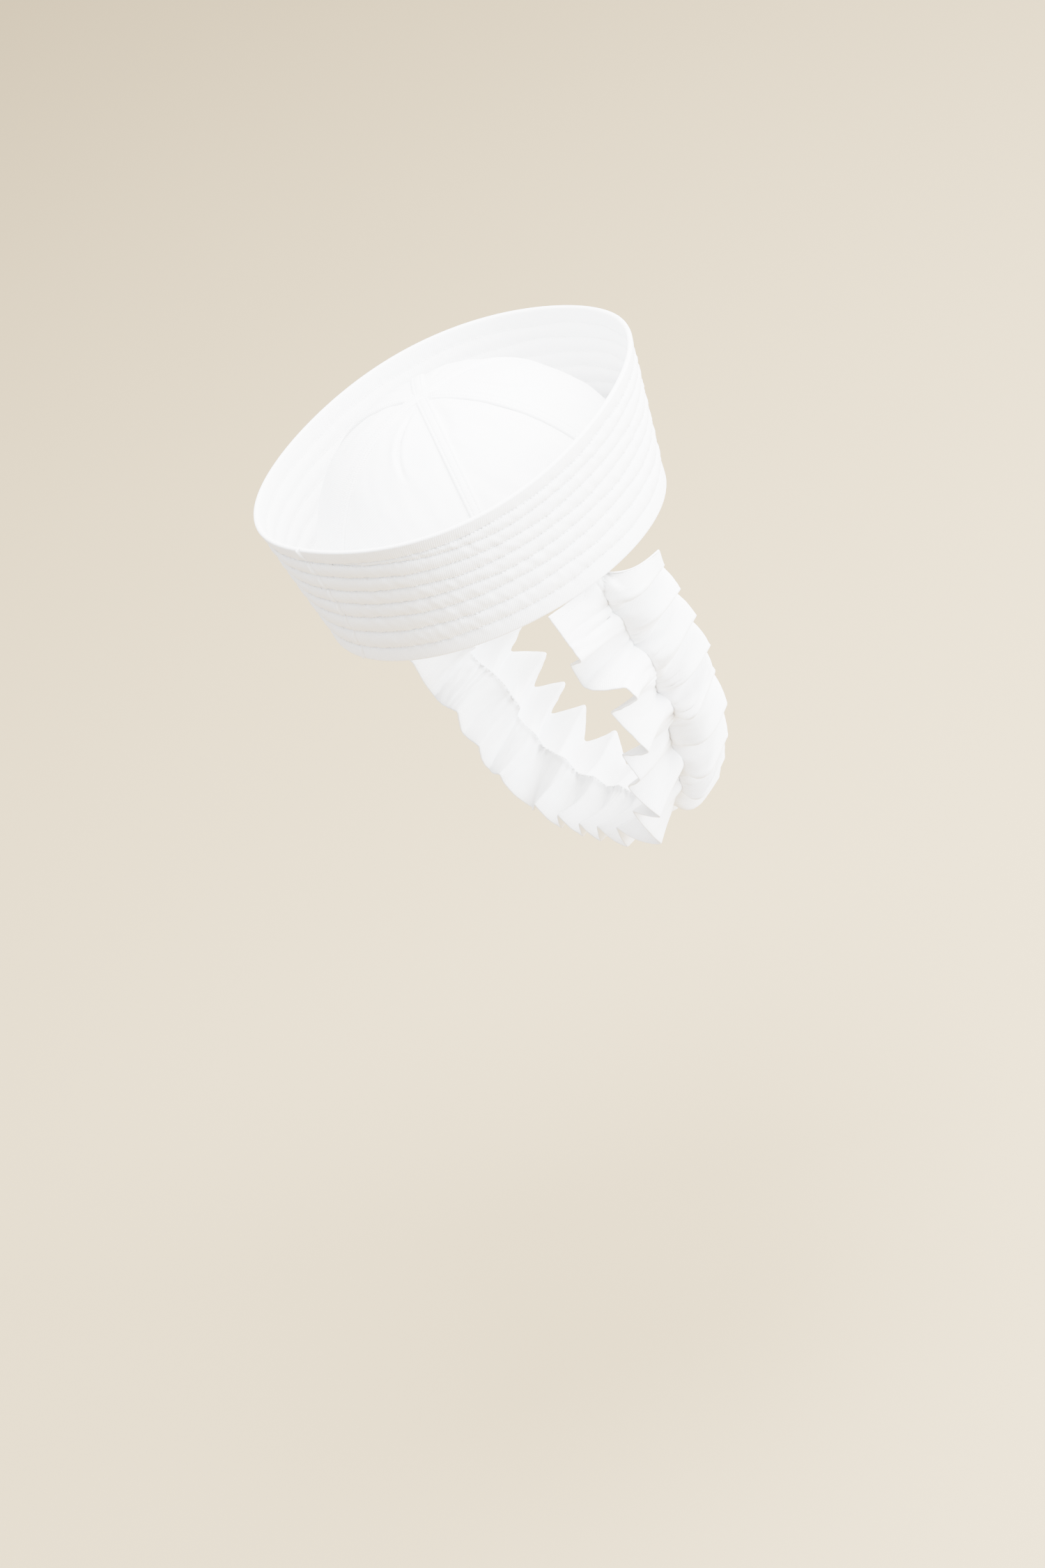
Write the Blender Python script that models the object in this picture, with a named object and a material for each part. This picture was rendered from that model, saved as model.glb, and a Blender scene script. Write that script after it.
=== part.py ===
"""White sailor cap: a domed crown of six gores, a turned-up stitched brim and a gathered chin strap.

Metres, +Z up. The origin is the middle of the cap's lower edge, where the head goes in.
The wearer faces -Y, and the wearer's right side is at -X. Angles run from +X towards +Y.
"""

import math
from typing import NamedTuple

import bmesh
import bpy
from mathutils import Vector

# Clearance between two pieces that touch
GAP = 0.0003

# Brim: an oval band that flares from the fold at its base to its rim
BASE_HALF_WIDTH = 0.0920
BASE_HALF_LENGTH = 0.1055
RIM_HALF_WIDTH = 0.1059
RIM_HALF_LENGTH = 0.1167
RIM_HEIGHT = 0.0816
BRIM_WALL = 0.0030
EDGE_ROUNDING = 0.0010
CHANNEL_COUNT = 8
CHANNEL_DEPTH = 0.0007
OUTER_STEPS = (0.0, 0.3, 0.7)
INNER_STEPS = (0.0, 0.5)
BRIM_COLUMNS = 52
BACK_SEAM_ANGLE = math.radians(90)
BACK_SEAM_WIDTH = 0.0030
BACK_SEAM_DEPTH = 0.0005

# Crown: a dome on the oval inside the brim, its cloth and the felled seams that stand on it
CROWN_HEIGHT = 0.1053
CROWN_WALL = 0.0012
CROWN_SIDE_FULLNESS = 2.58
CROWN_TOP_FULLNESS = 1.77
CROWN_LEAN_SIDE = 0.0030
CROWN_LEAN_BACK = 0.0045
SEAM_WIDTH = 0.0050
SEAM_RISE = 0.0009
SEAM_STEP = 0.0006
SEAM_WIDEST_SHARE = 0.45
GORE_PUFF = 0.0012
GORE_TIP_RADIUS = 0.0012
GORE_ROWS = 10
GORE_PANEL_COLUMNS = 6

# Chin strap: a strip gathered along its middle, in a loop under the chin
STRAP_DROP = 0.170
STRAP_SQUARENESS = 2.7
FRONT_WIDTH = 0.039
BACK_WIDTH = 0.036
STRAP_WALL = 0.0012
STRAP_SEAT_CLEARANCE = 0.0012
STRAP_PLACE = 0.005
STRAP_FORWARD = 0.016
LINE_CURVE = 1.2
FRONT_PILLOW = 0.0050
BACK_PILLOW = 0.0015
FRONT_RISE_CURVE = 0.72
BACK_RISE_CURVE = 1.0
TAB_LENGTH = 0.009
TAB_SHARE = 0.30
TAB_FADE = 0.012
CLOSEST_COLUMNS = 0.008
STRAP_ROWS = (-1.0, -0.62, -0.30, 0.0, 0.30, 0.62, 1.0)

TWILL_COLOUR = (0.86, 0.86, 0.85, 1.0)
TWILL_ROUGHNESS = 0.9


class RimWave(NamedTuple):
    """One wave of the rim round the cap, as shares of the rim's own size and height."""

    turns: int
    out_cos: float
    out_sin: float
    up_cos: float
    up_sin: float


RIM_WAVES = (
    RimWave(turns=1, out_cos=0.0, out_sin=0.008, up_cos=-0.011, up_sin=-0.083),
    RimWave(turns=3, out_cos=-0.002, out_sin=0.012, up_cos=0.022, up_sin=-0.016),
    RimWave(turns=4, out_cos=-0.020, out_sin=0.0, up_cos=0.0, up_sin=0.0),
)


class CrownSeam(NamedTuple):
    """A seam between two gores: its angle at the base and at the top, in degrees."""

    base: float
    top: float


CROWN_SEAMS = (
    CrownSeam(base=26, top=26),
    CrownSeam(base=84, top=84),
    CrownSeam(base=150, top=148),
    CrownSeam(base=209, top=192),
    CrownSeam(base=275, top=264),
    CrownSeam(base=330, top=328),
)


class FoldLine(NamedTuple):
    """A ridge or valley of the ruffle: where it starts on the gathering and ends on the edge, as shares
    of half the loop, its slope in degrees and the share of the flap's width it reaches."""

    start: float
    end: float
    slope: float
    reach: float


FRONT_LINES = (
    FoldLine(start=0.019, end=0.002, slope=34, reach=1.00),
    FoldLine(start=0.079, end=0.049, slope=36, reach=0.95),
    FoldLine(start=0.102, end=0.07, slope=5, reach=0.95),
    FoldLine(start=0.176, end=0.135, slope=33, reach=0.98),
    FoldLine(start=0.223, end=0.167, slope=4, reach=0.94),
    FoldLine(start=0.288, end=0.223, slope=34, reach=0.99),
    FoldLine(start=0.33, end=0.26, slope=2, reach=0.94),
    FoldLine(start=0.385, end=0.313, slope=38, reach=0.97),
    FoldLine(start=0.418, end=0.344, slope=5, reach=0.93),
    FoldLine(start=0.469, end=0.39, slope=42, reach=0.86),
    FoldLine(start=0.502, end=0.437, slope=1, reach=0.92),
    FoldLine(start=0.571, end=0.506, slope=40, reach=0.86),
    FoldLine(start=0.613, end=0.548, slope=2, reach=0.92),
    FoldLine(start=0.664, end=0.608, slope=40, reach=0.81),
    FoldLine(start=0.697, end=0.641, slope=4, reach=0.92),
    FoldLine(start=0.734, end=0.678, slope=42, reach=0.77),
    FoldLine(start=0.771, end=0.72, slope=4, reach=0.92),
    FoldLine(start=0.813, end=0.771, slope=38, reach=0.84),
    FoldLine(start=0.855, end=0.827, slope=4, reach=0.93),
    FoldLine(start=0.896, end=0.878, slope=34, reach=0.88),
    FoldLine(start=0.943, end=0.934, slope=4, reach=0.94),
    FoldLine(start=1.0, end=1.0, slope=28, reach=0.92),
)

BACK_LINES = (
    FoldLine(start=0.019, end=0.005, slope=3, reach=1.00),
    FoldLine(start=0.158, end=0.158, slope=10, reach=1.00),
    FoldLine(start=0.176, end=0.186, slope=-13, reach=0.99),
    FoldLine(start=0.204, end=0.265, slope=-12, reach=0.99),
    FoldLine(start=0.232, end=0.251, slope=20, reach=1.00),
    FoldLine(start=0.26, end=0.246, slope=38, reach=1.00),
    FoldLine(start=0.293, end=0.29, slope=43, reach=1.00),
    FoldLine(start=0.353, end=0.337, slope=9, reach=0.98),
    FoldLine(start=0.418, end=0.467, slope=31, reach=1.00),
    FoldLine(start=0.511, end=0.511, slope=-3, reach=0.97),
    FoldLine(start=0.548, end=0.574, slope=16, reach=0.99),
    FoldLine(start=0.594, end=0.625, slope=0, reach=0.98),
    FoldLine(start=0.632, end=0.687, slope=35, reach=1.00),
    FoldLine(start=0.701, end=0.713, slope=7, reach=0.97),
    FoldLine(start=0.748, end=0.799, slope=48, reach=1.00),
    FoldLine(start=0.808, end=0.836, slope=5, reach=0.97),
    FoldLine(start=0.855, end=0.887, slope=36, reach=0.98),
    FoldLine(start=0.906, end=0.92, slope=3, reach=0.96),
    FoldLine(start=0.952, end=0.966, slope=30, reach=0.98),
    FoldLine(start=1.0, end=1.0, slope=5, reach=0.96),
)


class Swell(NamedTuple):
    """How far the gathering stands out from the strap's plain line at a place down it, both as shares
    of half the loop."""

    place: float
    rise: float


GATHER_SWELLS = (
    Swell(place=0.019, rise=0.002),
    Swell(place=0.042, rise=0.016),
    Swell(place=0.084, rise=0.007),
    Swell(place=0.121, rise=-0.002),
    Swell(place=0.135, rise=0.03),
    Swell(place=0.158, rise=0.023),
    Swell(place=0.195, rise=0.014),
    Swell(place=0.232, rise=0.009),
    Swell(place=0.255, rise=0.051),
    Swell(place=0.307, rise=0.046),
    Swell(place=0.358, rise=0.014),
    Swell(place=0.404, rise=-0.002),
    Swell(place=0.418, rise=0.046),
    Swell(place=0.446, rise=0.044),
    Swell(place=0.502, rise=0.014),
    Swell(place=0.539, rise=-0.005),
    Swell(place=0.613, rise=-0.002),
    Swell(place=0.627, rise=0.042),
    Swell(place=0.655, rise=0.039),
    Swell(place=0.697, rise=0.028),
    Swell(place=0.725, rise=0.042),
    Swell(place=0.799, rise=0.009),
    Swell(place=0.845, rise=0.033),
    Swell(place=0.901, rise=0.009),
    Swell(place=0.947, rise=0.028),
    Swell(place=1.0, rise=0.009),
)


def clear_scene():
    for item in list(bpy.data.objects):
        bpy.data.objects.remove(item, do_unlink=True)


def twill_material():
    material = bpy.data.materials.new("cotton_twill")
    material.use_nodes = True
    shader = material.node_tree.nodes["Principled BSDF"]
    shader.inputs["Base Color"].default_value = TWILL_COLOUR
    shader.inputs["Roughness"].default_value = TWILL_ROUGHNESS
    shader.inputs["Metallic"].default_value = 0.0
    return material


def add_solid(name, points, faces, material):
    """Make one closed object of shared points, with its faces turned outwards."""
    mesh = bpy.data.meshes.new(name)
    mesh.from_pydata(points, [], faces)
    work = bmesh.new()
    work.from_mesh(mesh)
    bmesh.ops.recalc_face_normals(work, faces=work.faces)
    work.to_mesh(mesh)
    work.free()
    mesh.materials.append(material)
    mesh.shade_smooth()
    solid = bpy.data.objects.new(name, mesh)
    bpy.context.scene.collection.objects.link(solid)
    return solid


def grid_faces(rows, columns, start, rows_close=False, columns_close=False):
    """Quads of a grid whose points are numbered row by row from start."""
    faces = []
    for row in range(rows if rows_close else rows - 1):
        for column in range(columns if columns_close else columns - 1):
            after, beside = (row + 1) % rows, (column + 1) % columns
            faces.append(
                (
                    start + row * columns + column,
                    start + row * columns + beside,
                    start + after * columns + beside,
                    start + after * columns + column,
                )
            )
    return faces


def sheet_solid(name, face_grid, back_grid, material):
    """Close two matching grids of points into one sheet with a rim."""
    rows, columns = len(face_grid), len(face_grid[0])
    count = rows * columns
    points = [point for row in face_grid for point in row] + [point for row in back_grid for point in row]
    faces = grid_faces(rows, columns, 0)
    faces += [face[::-1] for face in grid_faces(rows, columns, count)]
    border = [column for column in range(columns)]
    border += [row * columns + columns - 1 for row in range(1, rows)]
    border += [(rows - 1) * columns + column for column in range(columns - 2, -1, -1)]
    border += [row * columns for row in range(rows - 2, 0, -1)]
    for here, there in zip(border, border[1:] + border[:1]):
        faces.append((here, here + count, there + count, there))
    return add_solid(name, points, faces, material)


def oval(angle, half_width, half_length):
    return Vector((half_width * math.cos(angle), half_length * math.sin(angle), 0.0))


def brim_point(angle, share, inset):
    """A point of the brim, share of the way from base to rim and inset from its outer face."""
    out = sum(w.out_cos * math.cos(w.turns * angle) + w.out_sin * math.sin(w.turns * angle) for w in RIM_WAVES)
    up = sum(w.up_cos * math.cos(w.turns * angle) + w.up_sin * math.sin(w.turns * angle) for w in RIM_WAVES)
    base = oval(angle, BASE_HALF_WIDTH - inset, BASE_HALF_LENGTH - inset)
    rim = oval(angle, RIM_HALF_WIDTH - inset, RIM_HALF_LENGTH - inset) * (1 + out)
    rim.z = RIM_HEIGHT * (1 + up)
    return base.lerp(rim, share)


def channel_hollow(place, dip):
    """How far the face lies below the crests of the channels, at a place in one channel."""
    return dip + (CHANNEL_DEPTH - dip) * (1 - math.sqrt(4 * place * (1 - place)))


def brim_section(dip):
    """The closed section of the brim: shares of its height, and insets from its outer face."""
    rounding = EDGE_ROUNDING / RIM_HEIGHT
    section = []
    for channel in range(CHANNEL_COUNT):
        section += [((channel + step) / CHANNEL_COUNT, channel_hollow(step, dip)) for step in OUTER_STEPS]
    section.append((1.0, CHANNEL_DEPTH))
    section += [(1 + rounding, 0.35 * BRIM_WALL), (1 + rounding, 0.65 * BRIM_WALL)]
    section.append((1.0, BRIM_WALL - CHANNEL_DEPTH))
    for channel in reversed(range(CHANNEL_COUNT)):
        for step in reversed(INNER_STEPS):
            section.append(((channel + step) / CHANNEL_COUNT, BRIM_WALL - channel_hollow(step, 0.0)))
    section += [(-rounding, 0.65 * BRIM_WALL), (-rounding, 0.35 * BRIM_WALL)]
    return section


def brim_angles():
    """Even angles round the brim, and three more across its back seam with the depth there."""
    seam = BACK_SEAM_WIDTH / 2 / BASE_HALF_LENGTH
    angles = [(BACK_SEAM_ANGLE - seam, 0.0), (BACK_SEAM_ANGLE, BACK_SEAM_DEPTH), (BACK_SEAM_ANGLE + seam, 0.0)]
    for step in range(1, BRIM_COLUMNS):
        angles.append((BACK_SEAM_ANGLE + 2 * math.pi * step / BRIM_COLUMNS, 0.0))
    return angles


def make_brim(material):
    points = []
    angles = brim_angles()
    for angle, dip in angles:
        points += [brim_point(angle, share, inset) for share, inset in brim_section(dip)]
    faces = grid_faces(len(angles), len(brim_section(0.0)), 0, rows_close=True, columns_close=True)
    return add_solid("brim", points, faces, material)


def crown_point(angle, turn, inset):
    """A point of the crown: turn runs from 0 at the base to a quarter turn at the top."""
    across = math.cos(turn) ** (2 / CROWN_SIDE_FULLNESS)
    up = math.sin(turn) ** (2 / CROWN_TOP_FULLNESS)
    seat = BRIM_WALL + GAP + inset
    point = oval(angle, (BASE_HALF_WIDTH - seat) * across, (BASE_HALF_LENGTH - seat) * across)
    lean = Vector((CROWN_LEAN_SIDE, CROWN_LEAN_BACK, 0.0)) * up
    return point + lean + Vector((0.0, 0.0, (CROWN_HEIGHT - inset) * up))


def last_turn():
    """The turn at which the gores' tips end, a little short of the middle of the crown."""
    share = GORE_TIP_RADIUS / (BASE_HALF_WIDTH - BRIM_WALL - GAP)
    return math.acos(share ** (CROWN_SIDE_FULLNESS / 2))


def seam_angle(seam, turn, after=0.0):
    up = math.sin(turn) ** 2
    return math.radians(seam.base + (seam.top - seam.base) * up + after)


def gore_columns(turn, start, end):
    """Angles across a gore with their insets: the felled strip first, then the plain panel."""
    radius = (crown_point(start, turn, 0.0) - crown_point(start + math.pi, turn, 0.0)).length / 2
    start += GAP / 2 / radius
    end -= GAP / 2 / radius
    strip = min(SEAM_WIDTH / radius, SEAM_WIDEST_SHARE * (end - start))
    step = strip * SEAM_STEP / SEAM_WIDTH
    columns = [(start, 0.0), (start + strip, 0.0)]
    for column in range(GORE_PANEL_COLUMNS + 1):
        share = column / GORE_PANEL_COLUMNS
        puff = GORE_PUFF * math.sin(math.pi * share) * math.sin(2 * turn)
        panel_start = start + strip + step
        columns.append((panel_start + (end - panel_start) * share, SEAM_RISE - puff))
    return columns


def make_gore(number, material):
    start = CROWN_SEAMS[number]
    end = CROWN_SEAMS[(number + 1) % len(CROWN_SEAMS)]
    past_full_turn = 360.0 if end.base < start.base else 0.0
    outer, inner = [], []
    for row in range(GORE_ROWS + 1):
        turn = last_turn() * row / GORE_ROWS
        columns = gore_columns(turn, seam_angle(start, turn), seam_angle(end, turn, past_full_turn))
        outer.append([crown_point(angle, turn, inset) for angle, inset in columns])
        inner.append([crown_point(angle, turn, max(inset, 0.0) + CROWN_WALL) for angle, inset in columns])
    return sheet_solid(f"crown_gore_{number + 1}", outer, inner, material)


def strap_half_span():
    """Half the strap's span between its ends, inside the crown's cloth."""
    crown_inside = BASE_HALF_WIDTH - BRIM_WALL - GAP - SEAM_RISE - CROWN_WALL
    return crown_inside - GAP - STRAP_SEAT_CLEARANCE - STRAP_WALL / 2


def strap_route(steps=400):
    """Points of the gathered line from its right end down to the chin, with their distances."""
    span = strap_half_span()
    route = []
    along = 0.0
    for step in range(steps + 1):
        turn = math.pi / 2 * step / steps
        side = -span * math.cos(turn) ** (2 / STRAP_SQUARENESS)
        down = -STRAP_DROP * math.sin(turn) ** (2 / STRAP_SQUARENESS)
        if route:
            along += math.hypot(side - route[-1][1], down - route[-1][2])
        route.append((along, side, down))
    return route


def on_route(route, along):
    """Point and outward direction of the gathered line at a distance from the strap's end."""
    if along <= 0:
        return Vector((route[0][1], 0.0, -along)), Vector((-1.0, 0.0, 0.0))
    last = len(route) - 1
    low, high = 0, last
    while high - low > 1:
        middle = (low + high) // 2
        if route[middle][0] < along:
            low = middle
        else:
            high = middle
    here, there = route[low], route[high]
    share = min((along - here[0]) / (there[0] - here[0]), 1.0)
    tangent = Vector((there[1] - here[1], 0.0, there[2] - here[2])).normalized()
    point = Vector((here[1], 0.0, here[2])).lerp(Vector((there[1], 0.0, there[2])), share)
    return point, Vector((tangent.z, 0.0, -tangent.x))


def value_at(places, values, place):
    """The value at a place between the places where it is known."""
    low = 0
    while low < len(places) - 2 and places[low + 1] <= place:
        low += 1
    share = (place - places[low]) / (places[low + 1] - places[low])
    return values[low] + (values[low + 1] - values[low]) * min(max(share, 0.0), 1.0)


def strap_columns():
    """Places on the gathering, as shares of half the loop: every ridge and valley and halfway between."""
    places = []
    for place in sorted({line.start for line in FRONT_LINES + BACK_LINES}):
        if not places or place - places[-1] >= CLOSEST_COLUMNS:
            places.append(place)
    places[-1] = 1.0
    columns = [places[0]]
    for before, after in zip(places, places[1:]):
        columns += [(before + after) / 2, after]
    return columns


def strap_point(route, gather, across):
    """A point of the ruffle's middle surface on the right half of the loop."""
    length = route[-1][0]
    share = abs(across)
    sign, lines, width, pillow, rise_curve = (
        (1.0, BACK_LINES, BACK_WIDTH, BACK_PILLOW, BACK_RISE_CURVE)
        if across > 0
        else (-1.0, FRONT_LINES, FRONT_WIDTH, FRONT_PILLOW, FRONT_RISE_CURVE)
    )
    starts, ends, slopes, reaches = zip(*lines)
    end, reach = value_at(starts, ends, gather), value_at(starts, reaches, gather)
    slope = math.radians(value_at(starts, slopes, gather))
    places, rises = zip(*GATHER_SWELLS)
    swell = value_at(places, rises, gather) * length
    at_end = max(0.0, 1 - (gather - starts[0]) * length / TAB_FADE)
    at_end = at_end * at_end * (3 - 2 * at_end)
    along = (gather + (end - gather) * share**LINE_CURVE) * length
    along -= TAB_LENGTH * max(0.0, 1 - (share / TAB_SHARE) ** 2) * at_end
    free = max(share - TAB_SHARE * at_end, 0.0) / (1 - TAB_SHARE * at_end)
    curl = width * math.sqrt(0.375 * reach * max(1 - reach, 0.0))
    curl += pillow * min(max(slope / math.radians(40), 0.0), 1.0)
    bulge = curl * math.sin(math.pi * free**0.85)
    high = swell * (1 - at_end) * (1 - share) ** 2 + bulge * math.cos(slope)
    high += width * reach * free**rise_curve * math.sin(slope)
    wide = width * reach * share * math.cos(slope) - bulge * math.sin(slope)
    point, outward = on_route(route, min(along, length))
    forward = STRAP_PLACE - STRAP_FORWARD * min(max(along, 0.0) / length * 2, 1.0)
    return point + outward * high + Vector((0.0, sign * wide + forward, 0.0))


def strap_middle():
    """The middle surface of the whole strap: rows across it, columns along it."""
    route = strap_route()
    columns = strap_columns()
    grid = []
    for across in STRAP_ROWS:
        right = [strap_point(route, gather, across) for gather in columns]
        right[-1].x = 0.0
        left = [Vector((-point.x, point.y, point.z)) for point in right[-2::-1]]
        grid.append(right + left)
    return grid


def grid_normals(grid):
    """Directions across a sheet, from the neighbours of each of its points."""
    rows, columns = len(grid), len(grid[0])
    normals = []
    for row in range(rows):
        line = []
        for column in range(columns):
            along = grid[row][min(column + 1, columns - 1)] - grid[row][max(column - 1, 0)]
            over = grid[min(row + 1, rows - 1)][column] - grid[max(row - 1, 0)][column]
            line.append(along.cross(over).normalized())
        normals.append(line)
    return normals


def make_chin_strap(material):
    middle = strap_middle()
    normals = grid_normals(middle)
    half = STRAP_WALL / 2
    face_grid = [[p + n * half for p, n in zip(*rows)] for rows in zip(middle, normals)]
    back_grid = [[p - n * half for p, n in zip(*rows)] for rows in zip(middle, normals)]
    return sheet_solid("chin_strap", face_grid, back_grid, material)


def main():
    clear_scene()
    twill = twill_material()
    for number in range(len(CROWN_SEAMS)):
        make_gore(number, twill)
    make_brim(twill)
    make_chin_strap(twill)


main()
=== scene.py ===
"""White sailor cap, dressed over its CAD model.

A domed crown of six gores with felled seams, a turned-up brim quilted by a spiral of stitching
between two closed rows, and a chin strap gathered along its middle. Metres, +Z up, in the frame of
the CAD model: the origin is the middle of the cap's lower edge, the wearer faces -Y, and angles run
from +X to +Y.
"""

import math
from typing import NamedTuple

import bmesh
import bpy
import numpy as np
from bpy.props import FloatProperty, FloatVectorProperty, PointerProperty
from mathutils import Matrix, Vector


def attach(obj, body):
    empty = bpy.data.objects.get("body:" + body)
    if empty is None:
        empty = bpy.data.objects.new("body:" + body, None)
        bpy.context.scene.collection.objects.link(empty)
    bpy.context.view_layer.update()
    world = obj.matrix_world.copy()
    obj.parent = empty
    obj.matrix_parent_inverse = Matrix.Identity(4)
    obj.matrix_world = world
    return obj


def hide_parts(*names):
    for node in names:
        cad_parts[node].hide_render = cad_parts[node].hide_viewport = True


bl_info = {
    "name": "Sailor Cap",
    "version": (1, 0, 0),
    "blender": (4, 5, 0),
    "location": "3D View > Sidebar > Sailor Cap",
    "description": "Builds a white sailor cap with a quilted brim and a gathered chin strap",
    "category": "Object",
}

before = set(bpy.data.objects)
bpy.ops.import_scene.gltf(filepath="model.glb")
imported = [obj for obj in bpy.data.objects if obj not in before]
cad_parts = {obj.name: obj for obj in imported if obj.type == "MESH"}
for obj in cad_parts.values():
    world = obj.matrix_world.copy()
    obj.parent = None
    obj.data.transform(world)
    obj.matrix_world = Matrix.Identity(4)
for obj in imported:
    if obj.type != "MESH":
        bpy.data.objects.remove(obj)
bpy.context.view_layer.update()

# Cells round the rounded edge of a thin cloth
RIM_CELLS = 4

# Brim: the oval band of the CAD model
BASE_HALF_WIDTH = 0.0920
BASE_HALF_LENGTH = 0.1055
RIM_HALF_WIDTH = 0.1059
RIM_HALF_LENGTH = 0.1167
RIM_HEIGHT = 0.0816
BRIM_WALL = 0.0030
EDGE_RADIUS = 0.0015
EDGE_REACH = 0.0010
BRIM_COLUMNS = 800
SEAM_COLUMNS = 14
SEAM_COLUMN_PITCH = 0.0004
OUTER_CELLS = 7
INNER_CELLS = 4
EDGE_CELLS = 5
FULL_CHANNEL = 0.0060
INNER_DEPTH_SHARE = 0.35
ROW_SETTLES = 0.22
ROW_FALLS_FROM = 0.45
ROW_FALLS_TO = 0.97
ROW_WOBBLE = 0.0004
BRIM_STITCH_STEPS = 600
BRIM_STITCH_INSET = 0.0008

# Places on the brim's flat cloth, in heights of the brim: the outer face starts at 0, the rim at
# RIM_LIE, and the inner face ends at INNER_LIE
RIM_LIE = 1.02
INNER_LIE = 2.2

# Where the brim's drag lines start and end, as shares of its height, and how strong they are inside
DRAG_STARTS = 0.04
DRAG_ENDS = 0.98
DRAG_FADE = 0.08
INNER_DRAG_SHARE = 0.45

# Back seam of the brim: a fold with a groove beside it, on a line that bows to one side
BACK_SEAM_BOW = math.radians(3.0)
BACK_SEAM_LEAN = 0.5
BACK_SEAM_BEND = 0.04
BACK_SEAM_RIDGE = 0.00110
BACK_SEAM_RIDGE_PLACE = -0.0010
BACK_SEAM_RIDGE_WIDTH = 0.0008
BACK_SEAM_GROOVE = 0.00170
BACK_SEAM_GROOVE_PLACE = 0.0004
BACK_SEAM_GROOVE_WIDTH = 0.0006
BACK_SEAM_INSIDE = 0.4

# Crown: the dome of the CAD model
CROWN_HEIGHT = 0.1053
CROWN_SEAT = 0.0033
CROWN_RADIUS = (BASE_HALF_WIDTH + BASE_HALF_LENGTH) / 2
CROWN_SIDE_FULLNESS = 2.58
CROWN_TOP_FULLNESS = 1.77
CROWN_LEAN_SIDE = 0.0030
CROWN_LEAN_BACK = 0.0045
CROWN_FRONT_SWELL = 0.045
SEAM_WIDTH = 0.0054
SEAM_RISE = 0.0012
SEAM_WALL = 0.0022
SEAM_ROWS = (0.16, 0.84)
SEAM_ROW_DIP = 0.00045
SEAM_ROW_WIDTH = 0.10
SEAM_DRAW = 0.0009
SEAM_DRAW_WIDTH = 0.0055
SEAM_SINKS_FROM = 0.0095
SEAM_SINKS_TO = 0.0035
SEAM_PAST_TOP = 0.0013
TOP_STITCH_GAP = 0.0005
HIDDEN_STITCH_ROWS = 2
GORE_PUFF = 0.0012
GORE_EDGE_GAP = 0.0006
GORE_GAP_SHARE = 0.2
BASE_BLEND = 0.018
GORE_TIP_RADIUS = 0.0003
GORE_TIP_TURN = 0.1
GORE_FINE_STEPS = 800
GORE_ROWS = 130
STRIP_COLUMNS = 12
PANEL_COLUMNS = 78
CREASE_FADE = 1.2
CREASE_LIP = 0.5
CREASE_LIP_WIDTH = 2.5
DRAPE_SIDE_FADE = 0.16
DRAPE_TOP_FADE = 0.012
DRAPE_BASE_FADE = 0.010

# Chin strap: the loop of the CAD model
STRAP_HALF_SPAN = 0.0847
STRAP_DROP = 0.170
STRAP_SQUARENESS = 2.7
FRONT_WIDTH = 0.039
BACK_WIDTH = 0.036
STRAP_PLACE = 0.005
STRAP_FORWARD = 0.016
ROUTE_STEPS = 2000
ROUTE_TANGENT_STEP = 0.0004
STRAP_COLUMNS = 460
FINE_COLUMNS = 4000
MIDDLE_SPREAD = 0.6
STRAP_SIDE_ROWS = 17
ROW_CROWDING = 1.35
LINE_CURVE = 1.2
RIDGE_COLUMNS = 1.7
SHARP_COLUMNS = 0.05
CURL_SHARE = 0.375
BULGE_CURVE = 0.85
FULL_PILLOW_SLOPE = math.radians(40)
TAB_LENGTH = 0.009
TAB_SHARE = 0.30
TAB_FADE = 0.012
GATHER_PITCH = 0.0052
GATHER_GROOVE = 0.0005
GATHER_GROOVE_WIDTH = 0.0012
PLEAT_START = 0.0014
PLEAT_FADE = 1.5
CRUSH_SIDE_FADE = 0.010
CRUSH_END_FADE = 0.02
HEM_DEPTH = 0.0045
GATHER_STITCH_SKIP = 6
STRAP_THREAD_SHARE = 0.75

# Twill: a wave texture at WAVE_SCALE has one band to a metre; the rest are shares of the ribs' own
# pitch, height and shade, and sizes of noise
WAVE_SCALE = math.pi / 10
WEFT_PITCH_SHARE = 0.62
WEFT_HEIGHT_SHARE = 0.3
FUZZ_HEIGHT_SHARE = 0.5
RIB_SHADE_SHARE = 0.62
FUZZ_SCALE = 2600.0
CLOUD_SCALE = 60.0
THREAD_TWIST_SCALE = 900.0
THREAD_GROOVE_PAINTED_SHADE = 0.86

# Room: floor and light
FLOOR_HALF = 10.0
FLOOR_MOTTLE_SCALE = 3.0
FLOOR_MOTTLE_SHADE = 0.985
ROOM_COLOUR = (0.915, 0.955, 1.0, 1.0)
PICTURE_EXPOSURE = 2.0

# Camera, as the photograph was taken, in degrees and metres, with its lens and sensor in millimetres
CAMERA_PLACE = (-1.9466, 1.1939, 1.1349)
CAMERA_AZIMUTH = 239.5
CAMERA_ELEVATION = 29.21
CAMERA_ROLL = -24.15
CAMERA_LENS = 105.6
CAMERA_SENSOR = 36.0


class RimWave(NamedTuple):
    """One wave of the rim round the cap, as shares of the rim's own size and height."""

    turns: int
    out_cos: float
    out_sin: float
    up_cos: float
    up_sin: float


RIM_WAVES = (
    RimWave(turns=1, out_cos=0.0, out_sin=0.008, up_cos=-0.011, up_sin=-0.083),
    RimWave(turns=3, out_cos=-0.002, out_sin=0.012, up_cos=0.022, up_sin=-0.016),
    RimWave(turns=4, out_cos=-0.020, out_sin=0.0, up_cos=0.0, up_sin=0.0),
)


class StitchRow(NamedTuple):
    """One turn of the brim's stitching: its share of the height at the back seam, at the side and
    back at the seam."""

    start: float
    side: float
    end: float


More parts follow.
